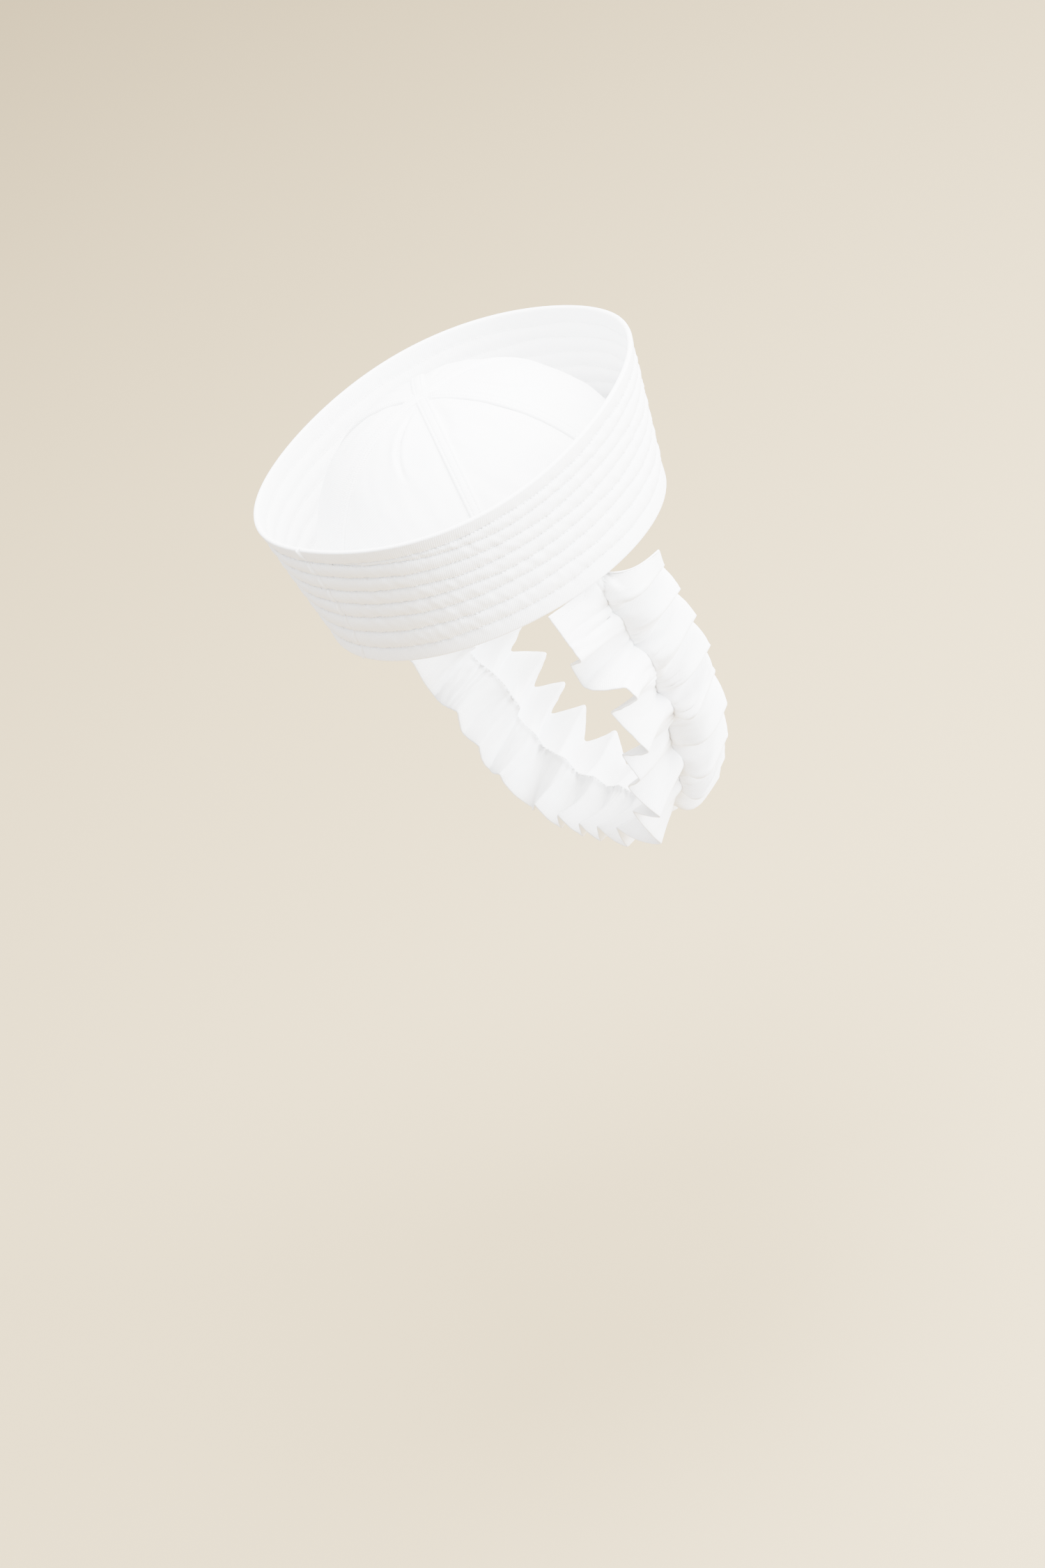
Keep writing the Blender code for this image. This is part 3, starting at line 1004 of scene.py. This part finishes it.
def row_share(row, number, turn):
    """Height of a row of stitching as a share, at a share of the turn round from the back seam."""
    settled = smooth_step(turn / ROW_SETTLES)
    fallen = smooth_step((turn - ROW_FALLS_FROM) / (ROW_FALLS_TO - ROW_FALLS_FROM))
    share = row.start + (row.side - row.start) * settled + (row.end - row.side) * fallen
    wobble = sum(r.share * np.sin(2 * math.pi * (turn * r.waves + number * r.shift)) for r in ROW_RIPPLES)
    return share + ROW_WOBBLE / RIM_HEIGHT * wobble * np.sin(math.pi * turn) ** 0.5


def brim_turns():
    """Shares of the turn round the brim for its columns, closer together beside the back seam."""
    near = np.arange(SEAM_COLUMNS) * SEAM_COLUMN_PITCH / (2 * math.pi * BASE_HALF_LENGTH)
    far = np.linspace(near[-1] + near[1], 1 - near[-1] - near[1], BRIM_COLUMNS - 2 * SEAM_COLUMNS)
    return np.concatenate([near, far, 1 - near[::-1]])


def cell_places(cells):
    """Places across a channel, closer together beside the stitching."""
    return (1 - np.cos(math.pi * np.arange(cells) / cells)) / 2


def channel_relief(place, width, is_first, is_last):
    """How far the face lies below the crest, as a share of the channel's depth."""
    if is_first:
        bulge = np.sqrt(1 - place**2)
    elif is_last:
        bulge = np.sqrt(1 - (1 - place) ** 2)
    else:
        bulge = np.sqrt(4 * place * (1 - place))
    fullness = np.minimum(width * RIM_HEIGHT / FULL_CHANNEL, 1.0)
    return 1 - bulge * fullness


def brim_section(turn, depth):
    """Shares and insets of the brim's closed section at every column, and its place on the cloth."""
    edge = EDGE_RADIUS / RIM_HEIGHT
    low = np.full_like(turn, edge - EDGE_REACH / RIM_HEIGHT)
    high = 1 - low
    rows = [low] + [row_share(row, number, turn) for number, row in enumerate(BRIM_ROWS)] + [high]
    last = len(rows) - 2
    shares, insets, lies = [], [], []

    def add_face(cells, inside):
        places = cell_places(cells)
        for channel in reversed(range(last + 1)) if inside else range(last + 1):
            bottom, top = rows[channel], rows[channel + 1]
            for place in 1 - places if inside else places:
                relief = channel_relief(place, top - bottom, channel == 0, channel == last)
                share = bottom + (top - bottom) * place
                shares.append(share)
                insets.append(BRIM_WALL - depth * INNER_DEPTH_SHARE * relief if inside else depth * relief)
                lies.append((INNER_LIE - share if inside else share) * RIM_HEIGHT)

    def add_edge(middle, sign):
        for step in range(EDGE_CELLS):
            turned = math.pi * step / EDGE_CELLS
            out = EDGE_RADIUS - EDGE_RADIUS * math.cos(turned)
            if sign > 0:
                lie = RIM_LIE * RIM_HEIGHT + turned * EDGE_RADIUS
            else:
                lie = (turned - math.pi) * EDGE_RADIUS
            shares.append(middle + sign * edge * math.sin(turned))
            insets.append(np.full_like(turn, out if sign > 0 else BRIM_WALL - out))
            lies.append(np.full_like(turn, lie))

    add_face(OUTER_CELLS, False)
    add_edge(high, 1)
    add_face(INNER_CELLS, True)
    add_edge(low, -1)
    return np.array(shares), np.array(insets), np.array(lies)


def brim_angles(turn, share):
    """Angles of the brim's points: its columns bow sideways beside the back seam."""
    bow = BACK_SEAM_BOW * arch(share) - BACK_SEAM_LEAN * BACK_SEAM_BOW * share
    beside = 1 - smooth_step(np.minimum(turn, 1 - turn) / BACK_SEAM_BEND)
    return math.pi / 2 + 2 * math.pi * turn + bow * beside


def back_seam_relief(turn):
    """How far the brim's face is pulled in beside the back seam."""
    away = np.where(turn > 0.5, turn - 1, turn) * 2 * math.pi * BASE_HALF_LENGTH
    ridge = BACK_SEAM_RIDGE * bump_shape((away - BACK_SEAM_RIDGE_PLACE) / BACK_SEAM_RIDGE_WIDTH)
    groove = BACK_SEAM_GROOVE * bump_shape((away - BACK_SEAM_GROOVE_PLACE) / BACK_SEAM_GROOVE_WIDTH)
    return groove - ridge


def drag_freedom(mesh):
    """How free each point of the brim is to move: not at all at its edges, and less on its inner face."""
    lies = np.empty(3 * len(mesh.vertices), dtype=np.float32)
    mesh.attributes["lie"].data.foreach_get("vector", lies)
    face = lies.reshape(-1, 3)[:, 1] / RIM_HEIGHT
    inside = face > INNER_LIE / 2
    side = np.where(inside, INNER_LIE - face, face)
    free = smooth_step((side - DRAG_STARTS) / DRAG_FADE) * smooth_step((DRAG_ENDS - side) / DRAG_FADE)
    return free * np.where(inside, INNER_DRAG_SHARE, 1.0)


def make_brim():
    """The quilted brim, and its length round its middle."""
    turn = brim_turns()
    shares, insets, across = brim_section(turn, settings().channel_depth)
    turns = np.broadcast_to(turn, shares.shape)
    outside = np.clip(1 - insets / (BRIM_WALL / 2), -1, 1)
    outside = np.where(outside < 0, BACK_SEAM_INSIDE * outside, outside)
    insets = insets + back_seam_relief(turns) * outside
    points = brim_point(brim_angles(turns, shares), shares, insets)
    half = np.full_like(turn, 0.5)
    middle = brim_point(brim_angles(turn, half), half, np.zeros_like(turn))
    along = np.broadcast_to(lengths_along(middle, 0), shares.shape)
    mesh = cloth_mesh("brim_shell", points, np.stack([along, across], axis=-1), section_closes=True)
    shell = add_object("brim_shell", mesh, twill_material(BRIM_WEAVE))
    closed_up(mesh)
    add_relief(shell, BRIM_DRAG, drag_freedom(mesh))
    return made_plain(shell, "brim_cloth"), along[0, -1]


def brim_stitch_lines():
    """Lines of the brim's stitching on both of its faces."""
    turn = np.linspace(0.0, 1.0, BRIM_STITCH_STEPS + 1)
    lines = []
    for number, row in enumerate(BRIM_ROWS):
        share = row_share(row, number, turn)
        for inset in (BRIM_STITCH_INSET, BRIM_WALL - BRIM_STITCH_INSET):
            lines.append(brim_point(brim_angles(turn, share), share, np.full_like(turn, inset)))
    return lines


# Crown


def crown_spread(turn):
    """How far out the dome lies at a turn, as a share of how far out it lies at its base."""
    return np.cos(turn) ** (2 / CROWN_SIDE_FULLNESS)


def crown_point(angle, turn, inset):
    """Points of the crown: turn runs from 0 at the base to a quarter turn at the top."""
    swell = 1 + CROWN_FRONT_SWELL * np.sin(2 * turn) ** 2 * np.maximum(0, -np.sin(angle)) ** 3
    across = crown_spread(turn) * swell
    up = np.sin(turn) ** (2 / CROWN_TOP_FULLNESS)
    seat = CROWN_SEAT + inset
    sideways = (BASE_HALF_WIDTH - seat) * across * np.cos(angle) + CROWN_LEAN_SIDE * up
    backward = (BASE_HALF_LENGTH - seat) * across * np.sin(angle) + CROWN_LEAN_BACK * up
    return np.stack([sideways, backward, (CROWN_HEIGHT - inset) * up], axis=-1)


def gore_turns():
    """Turns from base to top that lie evenly along the cloth, and their distances."""
    share = GORE_TIP_RADIUS / (BASE_HALF_WIDTH - CROWN_SEAT)
    last = math.acos(share ** (CROWN_SIDE_FULLNESS / 2))
    tip = last - GORE_TIP_TURN * np.linspace(1, 0, GORE_FINE_STEPS) ** 2
    fine = np.concatenate([np.linspace(0, last - GORE_TIP_TURN, GORE_FINE_STEPS), tip])
    line = crown_point(np.zeros_like(fine), fine, np.zeros_like(fine))
    far = lengths_along(line, 0)
    even = np.linspace(0, far[-1], GORE_ROWS + 1)
    return np.interp(even, far, fine), even


def seam_angles(seam, turn, past=0.0):
    """Angles of a seam's line at turns up the crown; past counts on by whole turns, in degrees."""
    return np.radians(seam.top + (seam.base - seam.top) * np.cos(turn) + past)


def crease_inset(angle, turn):
    """How far the crown's creases pull its cloth in."""
    down = 1 - turn / (math.pi / 2)
    radius = CROWN_RADIUS * crown_spread(turn)
    inset = np.zeros_like(angle)
    for crease in CROWN_CREASES:
        share = (down - crease.high) / (crease.low - crease.high)
        line = np.radians(crease.angle + crease.bend * share + crease.bow * arch(share))
        off = (np.mod(angle - line + math.pi, 2 * math.pi) - math.pi) * radius
        lips = CREASE_LIP * bump_shape(off / crease.width / CREASE_LIP_WIDTH)
        inset += crease.depth * arch(share) ** CREASE_FADE * (bump_shape(off / crease.width) - lips)
    return inset


def panel_grid(number):
    """Angles, turns and insets of one gore's panel, and its rows' distances from the base."""
    turn, far = gore_turns()
    start_seam = CROWN_SEAMS[number]
    end_seam = CROWN_SEAMS[(number + 1) % len(CROWN_SEAMS)]
    start = seam_angles(start_seam, turn)
    end = seam_angles(end_seam, turn, 360.0 if end_seam.base < start_seam.base else 0.0)
    radius = CROWN_RADIUS * crown_spread(turn)
    gap = np.minimum(GORE_EDGE_GAP / radius, GORE_GAP_SHARE * (end - start))
    share = np.linspace(0, 1, PANEL_COLUMNS + 1)[:, None]
    angles = start + gap + (end - start - 2 * gap) * share
    turns = np.broadcast_to(turn, angles.shape)
    from_seam = np.minimum(angles - start, end - angles) * radius
    drawn = SEAM_DRAW * bump_shape(from_seam / SEAM_DRAW_WIDTH)
    puff = GORE_PUFF * np.sin(math.pi * share) * np.sin(2 * turn)
    off_base = smooth_step(far / BASE_BLEND)
    return angles, turns, (SEAM_RISE + drawn) * off_base - puff + crease_inset(angles, turns), far


def strip_grid(number):
    """Angles, turns and insets of the felled strip along a gore's first seam, up to just past the top,
    and its rows' distances from the top."""
    seam = CROWN_SEAMS[number]
    turn, far = gore_turns()
    half_width, half_length = BASE_HALF_WIDTH - CROWN_SEAT, BASE_HALF_LENGTH - CROWN_SEAT
    angle = seam_angles(seam, turn)
    across = crown_spread(turn)
    line = np.stack([half_width * across * np.cos(angle), half_length * across * np.sin(angle)], axis=-1)
    outward = line / np.linalg.norm(line, axis=-1, keepdims=True)
    line = np.concatenate([line, -SEAM_PAST_TOP * outward[-1:]])
    outward = np.concatenate([outward, outward[-1:]])
    sideways = np.stack([-outward[:, 1], outward[:, 0]], axis=-1)
    share = np.linspace(0, 1, STRIP_COLUMNS + 1)[:, None, None]
    places = line + sideways * SEAM_WIDTH * (share - 0.5)
    x, y = places[..., 0] / half_width, places[..., 1] / half_length
    angles = np.arctan2(y, x)
    turns = np.arccos(np.minimum(np.hypot(x, y), 1.0) ** (CROWN_SIDE_FULLNESS / 2))
    from_top = np.append(far[-1] - far, 0.0)
    sunk = seam.under * smooth_step((SEAM_SINKS_FROM - from_top) / (SEAM_SINKS_FROM - SEAM_SINKS_TO))
    dips = sum(bump_shape((share[..., 0] - row) / SEAM_ROW_WIDTH) for row in SEAM_ROWS)
    return angles, turns, SEAM_ROW_DIP * dips + sunk, from_top


def take_in(piece, other):
    """Make another object's mesh part of a piece."""
    work = bmesh.new()
    work.from_mesh(piece.data)
    work.from_mesh(other.data)
    work.to_mesh(piece.data)
    work.free()
    bpy.data.objects.remove(other, do_unlink=True)
    piece.data.shade_smooth()


def mesh_area(piece):
    areas = np.empty(len(piece.data.polygons))
    piece.data.polygons.foreach_get("area", areas)
    return float(areas.sum())


def make_gore(number):
    """A gore with the felled strip along its first seam, its flat width and length, and its area."""
    wall = settings().thickness
    twill = twill_material(GORE_WEAVE)
    angles, turns, insets, far = panel_grid(number)
    points = crown_point(angles, turns, insets + wall / 2)
    sideways = lengths_along(points, 0)
    sideways = sideways - sideways[-1:] / 2
    lie = np.stack([sideways, np.broadcast_to(far, sideways.shape)], axis=-1)
    edge = np.minimum(np.linspace(0, 1, angles.shape[0]), np.linspace(1, 0, angles.shape[0]))
    loose = smooth_step(edge[:, None] / DRAPE_SIDE_FADE)
    loose = loose * smooth_step((far[-1] - far) / DRAPE_TOP_FADE) * smooth_step(far / DRAPE_BASE_FADE)
    points = crumpled(points, lie, GORE_DRAPE._replace(seed=GORE_DRAPE.seed + number), loose)
    gore = cloth_shell(f"crown_gore_cloth_{number + 1}", points, lie, wall, twill)
    angles, turns, insets, from_top = strip_grid(number)
    points = crown_point(angles, turns, insets + SEAM_WALL / 2)
    across = np.linspace(0, SEAM_WIDTH, STRIP_COLUMNS + 1)[:, None]
    lie = np.stack(np.broadcast_arrays(across, far[-1] - from_top), axis=-1)
    take_in(gore, cloth_shell("felled_strip", points, lie, SEAM_WALL, twill))
    widest = float(sideways[-1].max() - sideways[0].min())
    return gore, widest + SEAM_WIDTH, float(far[-1]), mesh_area(gore) / 2


def crown_stitch_lines():
    """Two lines of stitching along each felled seam."""
    lines = []
    for number, seam in enumerate(CROWN_SEAMS):
        angles, turns, insets, from_top = strip_grid(number)
        shown = from_top > (SEAM_SINKS_TO if seam.under else TOP_STITCH_GAP)
        for share in SEAM_ROWS:
            column = round(share * STRIP_COLUMNS)
            line = crown_point(angles[column], turns[column], insets[column])
            lines.append(line[shown][HIDDEN_STITCH_ROWS:])
    return lines


# Chin strap


def strap_route():
    """Distances and points of the gathered line, from its right end down to the chin."""
    turn = np.linspace(0, math.pi / 2, ROUTE_STEPS + 1)
    side = -STRAP_HALF_SPAN * np.cos(turn) ** (2 / STRAP_SQUARENESS)
    down = -STRAP_DROP * np.sin(turn) ** (2 / STRAP_SQUARENESS)
    line = np.stack([side, np.zeros_like(side), down], axis=-1)
    return lengths_along(line, 0), line


def route_points(route, along):
    far, line = route
    return np.stack([np.interp(along, far, line[:, axis]) for axis in range(3)], axis=-1)


def on_route(route, along):
    """Points and outward directions of the gathered line at distances from the strap's end."""
    length = route[0][-1]
    inside = np.clip(along, 0.0, length)
    here = route_points(route, inside)
    ahead = route_points(route, np.clip(inside + ROUTE_TANGENT_STEP, 0.0, length))
    behind = route_points(route, np.clip(inside - ROUTE_TANGENT_STEP, 0.0, length))
    tangent = ahead - behind
    tangent /= np.linalg.norm(tangent, axis=-1, keepdims=True)
    outward = np.stack([tangent[..., 2], np.zeros_like(inside), -tangent[..., 0]], axis=-1)
    here[..., 2] += np.maximum(-along, 0.0)
    return here, outward


def softened(values, columns, turns_over):
    """Values along the strap with their corners rounded over a number of columns."""
    reach = int(4 * columns) + 1
    weights = bump_shape(np.arange(-reach, reach + 1) / columns / math.sqrt(2))
    padded = np.pad(values, reach, mode="reflect", reflect_type="odd" if turns_over else "even")
    return np.convolve(padded, weights / weights.sum(), mode="valid")


def fold_places(lines, gather, columns):
    """Where each column of the strap ends on the edge, with its slope and reach; gather and the result
    are shares of half the loop."""
    starts, ends, slopes, reaches = (np.array(column) for column in zip(*lines))
    end = softened(np.interp(gather, starts, ends), columns, True)
    slope = softened(np.interp(gather, starts, np.radians(slopes)), columns, False)
    reach = softened(np.interp(gather, starts, reaches), columns, False)
    return end, slope, reach


def forward_shift(share):
    """How far the gathered line lies towards the back, at shares of half the loop."""
    return STRAP_PLACE - STRAP_FORWARD * np.clip(share * 2, 0.0, 1.0)


def edge_line(route, gather, flap):
    """The ruffle's edge, before its corners are rounded."""
    end, slope, reach = fold_places(flap.lines, gather, SHARP_COLUMNS)
    point, outward = on_route(route, end * route[0][-1])
    point = point + outward * (flap.width * reach * np.sin(slope))[..., None]
    point[..., 1] += flap.side * flap.width * reach * np.cos(slope) + forward_shift(end)
    return point


def strap_columns(route):
    """Places of the strap's columns on the gathering, spread evenly over its edges and middle, and
    half the length of its cloth."""
    gather = np.linspace(BACK_LINES[0].start, 1.0, FINE_COLUMNS + 1)
    front, back = (lengths_along(edge_line(route, gather, flap), 0) for flap in (FRONT_FLAP, BACK_FLAP))
    spread = front / front[-1] + back / back[-1] + MIDDLE_SPREAD * (gather - gather[0])
    even = np.linspace(0, spread[-1], STRAP_COLUMNS + 1)
    return np.interp(even, spread, gather), (front[-1] + back[-1]) / 2


def pleat_wave(wave, along, side):
    return wave.size * np.sin(2 * math.pi * along / wave.length + wave.shift * side)


def gather_pleats(flap, along, off):
    """Height of the small pleats that the gathering thread draws up beside it, at distances along the
    gathering and off it."""
    wander = sum(pleat_wave(wave, along, flap.side) for wave in PLEAT_WANDERS)
    pleat = np.sqrt(0.5 + 0.5 * np.sin(2 * math.pi * along / GATHER_PITCH + wander + flap.side))
    strength = 1 - PLEAT_STRENGTH.size + pleat_wave(PLEAT_STRENGTH, along, flap.side)
    reach = flap.pleat_reach * (1 + pleat_wave(PLEAT_REACH, along, flap.side))
    near = (1 - np.exp(-off / PLEAT_START)) * np.exp(-((off / reach) ** PLEAT_FADE))
    groove = GATHER_GROOVE * bump_shape(off / GATHER_GROOVE_WIDTH)
    return flap.pleat_depth * strength * pleat * near - groove


def strap_half(route, gather, flap):
    """Grid of one flap on the right half of the loop, from the gathered line out, and its distances
    off that line."""
    length = route[0][-1]
    width = flap.width
    share = (np.linspace(0, 1, STRAP_SIDE_ROWS + 1) ** ROW_CROWDING)[:, None]
    end, slope, reach = fold_places(flap.lines, gather, RIDGE_COLUMNS)
    places, rises = zip(*GATHER_SWELLS)
    swell = softened(np.interp(gather, places, rises), RIDGE_COLUMNS, False) * length
    at_end = smooth_step(1 - (gather - gather[0]) * length / TAB_FADE)
    tab = TAB_LENGTH * np.maximum(0.0, 1 - (share / TAB_SHARE) ** 2) * at_end
    along = (gather + (end - gather) * share**LINE_CURVE) * length - tab
    free = np.maximum(share - TAB_SHARE * at_end, 0.0) / (1 - TAB_SHARE * at_end)
    curl = width * np.sqrt(CURL_SHARE * reach * np.maximum(1 - reach, 0.0))
    curl = curl + flap.pillow * np.clip(slope / FULL_PILLOW_SLOPE, 0, 1)
    bulge = curl * np.sin(math.pi * free**BULGE_CURVE)
    high = swell * (1 - at_end) * (1 - share) ** 2 + bulge * np.cos(slope)
    high = high + width * reach * free**flap.rise_curve * np.sin(slope)
    wide = width * reach * share * np.cos(slope) - bulge * np.sin(slope)
    off = np.broadcast_to(width * share, along.shape)
    high = high + gather_pleats(flap, gather * length, off)
    points, outward = on_route(route, np.minimum(along, length))
    points = points + outward * high[..., None]
    points[..., 1] += flap.side * wide + forward_shift(along / length)
    return points, off * flap.side


def mirrored(points):
    """The left half of a grid whose last column lies on the middle plane."""
    flipped = points[:, -2::-1].copy()
    flipped[..., 0] *= -1
    return flipped


def strap_grid():
    """The whole strap from its front edge to its back edge, and from right to left, and its place on
    the flat cloth."""
    route = strap_route()
    gather, half_length = strap_columns(route)
    front, front_off = strap_half(route, gather, FRONT_FLAP)
    back, back_off = strap_half(route, gather, BACK_FLAP)
    points = np.concatenate([front[::-1], back[1:]])
    off = np.concatenate([front_off[::-1], back_off[1:]])
    points[:, -1, 0] = 0.0
    points = np.concatenate([points, mirrored(points)], axis=1)
    off = np.concatenate([off, off[:, -2::-1]], axis=1)
    along = np.broadcast_to(np.linspace(0, 2 * half_length, points.shape[1]), off.shape)
    return points, np.stack([along, off], axis=-1)


def make_chin_strap():
    """The gathered strap, and the length of its cloth."""
    points, lie = strap_grid()
    along, off = lie[..., 0], lie[..., 1]
    off_gather = smooth_step(np.abs(off) / CRUSH_SIDE_FADE)
    off_end = smooth_step(np.minimum(along, along[:, ::-1]) / CRUSH_END_FADE)
    points = crumpled(points, lie, STRAP_CRUSH, off_gather * off_end)
    strap = cloth_shell("chin_strap_cloth", points, lie, settings().thickness, twill_material(STRAP_WEAVE))
    return strap, float(along[0, -1])


def strap_stitch_lines():
    """The gathering line, and the hems at both ends."""
    points, lie = strap_grid()
    middle = STRAP_SIDE_ROWS
    lines = [points[middle, GATHER_STITCH_SKIP:-GATHER_STITCH_SKIP]]
    hem = int(round(HEM_DEPTH / (lie[0, 1, 0] - lie[0, 0, 0])))
    for column in (hem, points.shape[1] - 1 - hem):
        lines.append(points[1:middle, column])
        lines.append(points[middle + 1 : -1, column])
    return lines


# Stage


def place_camera():
    """The camera, placed, turned and rolled as it stood for the photograph."""
    azimuth, elevation, roll = (math.radians(a) for a in (CAMERA_AZIMUTH, CAMERA_ELEVATION, CAMERA_ROLL))
    level = math.cos(elevation)
    back = Vector((math.sin(azimuth) * level, -math.cos(azimuth) * level, math.sin(elevation)))
    level_right = Vector((math.cos(azimuth), math.sin(azimuth), 0.0))
    level_up = back.cross(level_right)
    right = level_right * math.cos(roll) + level_up * math.sin(roll)
    up = level_up * math.cos(roll) - level_right * math.sin(roll)
    data = bpy.data.cameras.new("camera")
    data.lens = CAMERA_LENS
    data.sensor_width = CAMERA_SENSOR
    camera = bpy.data.objects.new("camera", data)
    camera.matrix_world = Matrix.Translation(CAMERA_PLACE) @ Matrix((right, up, back)).transposed().to_4x4()
    bpy.context.scene.collection.objects.link(camera)
    bpy.context.scene.camera = camera


def add_light(lamp, power):
    data = bpy.data.lights.new(lamp.name, "AREA")
    data.size = lamp.size
    data.energy = power * lamp.share
    data.color = lamp.colour
    light = bpy.data.objects.new(lamp.name, data)
    light.location = lamp.place
    light.rotation_euler = (-Vector(lamp.place)).to_track_quat("-Z", "Y").to_euler()
    bpy.context.scene.collection.objects.link(light)


def floor_material(colour):
    """A plain matt floor with the faintest mottle."""
    finish = {"Roughness": 0.95, "Specular IOR Level": 0.1}
    material, tree, shader = new_material("pale_floor", colour, finish)
    place = tree.nodes.new("ShaderNodeTexCoord").outputs["Object"]
    mottle = add_noise(tree, place, FLOOR_MOTTLE_SCALE)
    mixed = mixed_colour(tree, mottle, dimmed(colour, FLOOR_MOTTLE_SHADE), colour)
    tree.links.new(mixed, shader.inputs["Base Color"])
    return material


def make_floor(colour, drop):
    corners = [(x * FLOOR_HALF, y * FLOOR_HALF, 0) for x, y in ((-1, -1), (1, -1), (1, 1), (-1, 1))]
    mesh = bpy.data.meshes.new("floor")
    mesh.from_pydata(corners, [], [(0, 1, 2, 3)])
    floor = add_object("floor", mesh, floor_material(colour))
    floor.location.z = -drop


def make_stage():
    """The floor, the lights, the even light of the room, and the picture's tones."""
    scene = bpy.context.scene
    stage = scene.sailor_cap_stage
    make_floor(stage.floor_colour, stage.floor_drop)
    for lamp in LAMPS:
        add_light(lamp, stage.key)
    world = bpy.data.worlds.new("room")
    world.use_nodes = True
    background = world.node_tree.nodes["Background"]
    background.inputs["Color"].default_value = ROOM_COLOUR
    background.inputs["Strength"].default_value = stage.sky
    scene.world = world
    scene.view_settings.view_transform = "Filmic"
    scene.view_settings.look = "High Contrast"
    scene.view_settings.exposure = PICTURE_EXPOSURE
    place_camera()


# Operators


def dress(piece, *nodes):
    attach(piece, "root")
    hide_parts(*nodes)


class SAILORCAP_OT_crown(bpy.types.Operator):
    """Sew the six gores of the crown"""

    bl_idname = "sailor_cap.crown"
    bl_label = "Crown Gores"

    def execute(self, context):
        gores = []
        for number in range(len(CROWN_SEAMS)):
            gore, width, length, area = make_gore(number)
            dress(gore, f"crown_gore_{number + 1}")
            gores.append(gore)
        lines = crown_stitch_lines()
        for number, gore in enumerate(gores):
            seam_lines = lines[2 * number : 2 * number + 2]
            stitches = lay_stitches(f"crown_stitches_{number + 1}", seam_lines, gore)
            dress(stitches, f"crown_gore_{number + 1}")
        return {"FINISHED"}


class SAILORCAP_OT_brim(bpy.types.Operator):
    """Quilt the brim and turn it up"""

    bl_idname = "sailor_cap.brim"
    bl_label = "Turned-up Brim"

    def execute(self, context):
        brim, length = make_brim()
        dress(brim, "brim")
        stitches = lay_stitches("brim_stitches", brim_stitch_lines(), brim)
        dress(stitches, "brim")
        return {"FINISHED"}


class SAILORCAP_OT_chin_strap(bpy.types.Operator):
    """Gather the chin strap"""

    bl_idname = "sailor_cap.chin_strap"
    bl_label = "Gathered Chin Strap"

    def execute(self, context):
        strap, length = make_chin_strap()
        dress(strap, "chin_strap")
        stitches = lay_stitches("chin_strap_stitches", strap_stitch_lines(), strap, STRAP_THREAD_SHARE)
        dress(stitches, "chin_strap")
        return {"FINISHED"}


class SAILORCAP_OT_stage(bpy.types.Operator):
    """Set the floor, the lights and the camera"""

    bl_idname = "sailor_cap.stage"
    bl_label = "Stage"

    def execute(self, context):
        make_stage()
        return {"FINISHED"}


OPERATORS = (SAILORCAP_OT_crown, SAILORCAP_OT_brim, SAILORCAP_OT_chin_strap, SAILORCAP_OT_stage)


class SAILORCAP_PT_panel(bpy.types.Panel):
    """Sizes, colours and pieces of the cap"""

    bl_idname = "SAILORCAP_PT_panel"
    bl_label = "Sailor Cap"
    bl_space_type = "VIEW_3D"
    bl_region_type = "UI"
    bl_category = "Sailor Cap"

    def draw(self, context):
        scene = context.scene
        for group in (scene.sailor_cap_cloth, scene.sailor_cap_stitches, scene.sailor_cap_stage):
            box = self.layout.box()
            for name in group.__annotations__:
                box.prop(group, name)
        for operator in OPERATORS:
            self.layout.operator(operator.bl_idname)


CLASSES = (ClothSettings, StitchSettings, StageSettings, *OPERATORS, SAILORCAP_PT_panel)


def register():
    for cls in CLASSES:
        bpy.utils.register_class(cls)
    bpy.types.Scene.sailor_cap_cloth = PointerProperty(type=ClothSettings)
    bpy.types.Scene.sailor_cap_stitches = PointerProperty(type=StitchSettings)
    bpy.types.Scene.sailor_cap_stage = PointerProperty(type=StageSettings)


def unregister():
    del bpy.types.Scene.sailor_cap_stage
    del bpy.types.Scene.sailor_cap_stitches
    del bpy.types.Scene.sailor_cap_cloth
    for cls in reversed(CLASSES):
        bpy.utils.unregister_class(cls)


def main():
    register()
    bpy.ops.sailor_cap.crown()
    bpy.ops.sailor_cap.brim()
    bpy.ops.sailor_cap.chin_strap()
    bpy.ops.sailor_cap.stage()


if __name__ == "__main__":
    main()
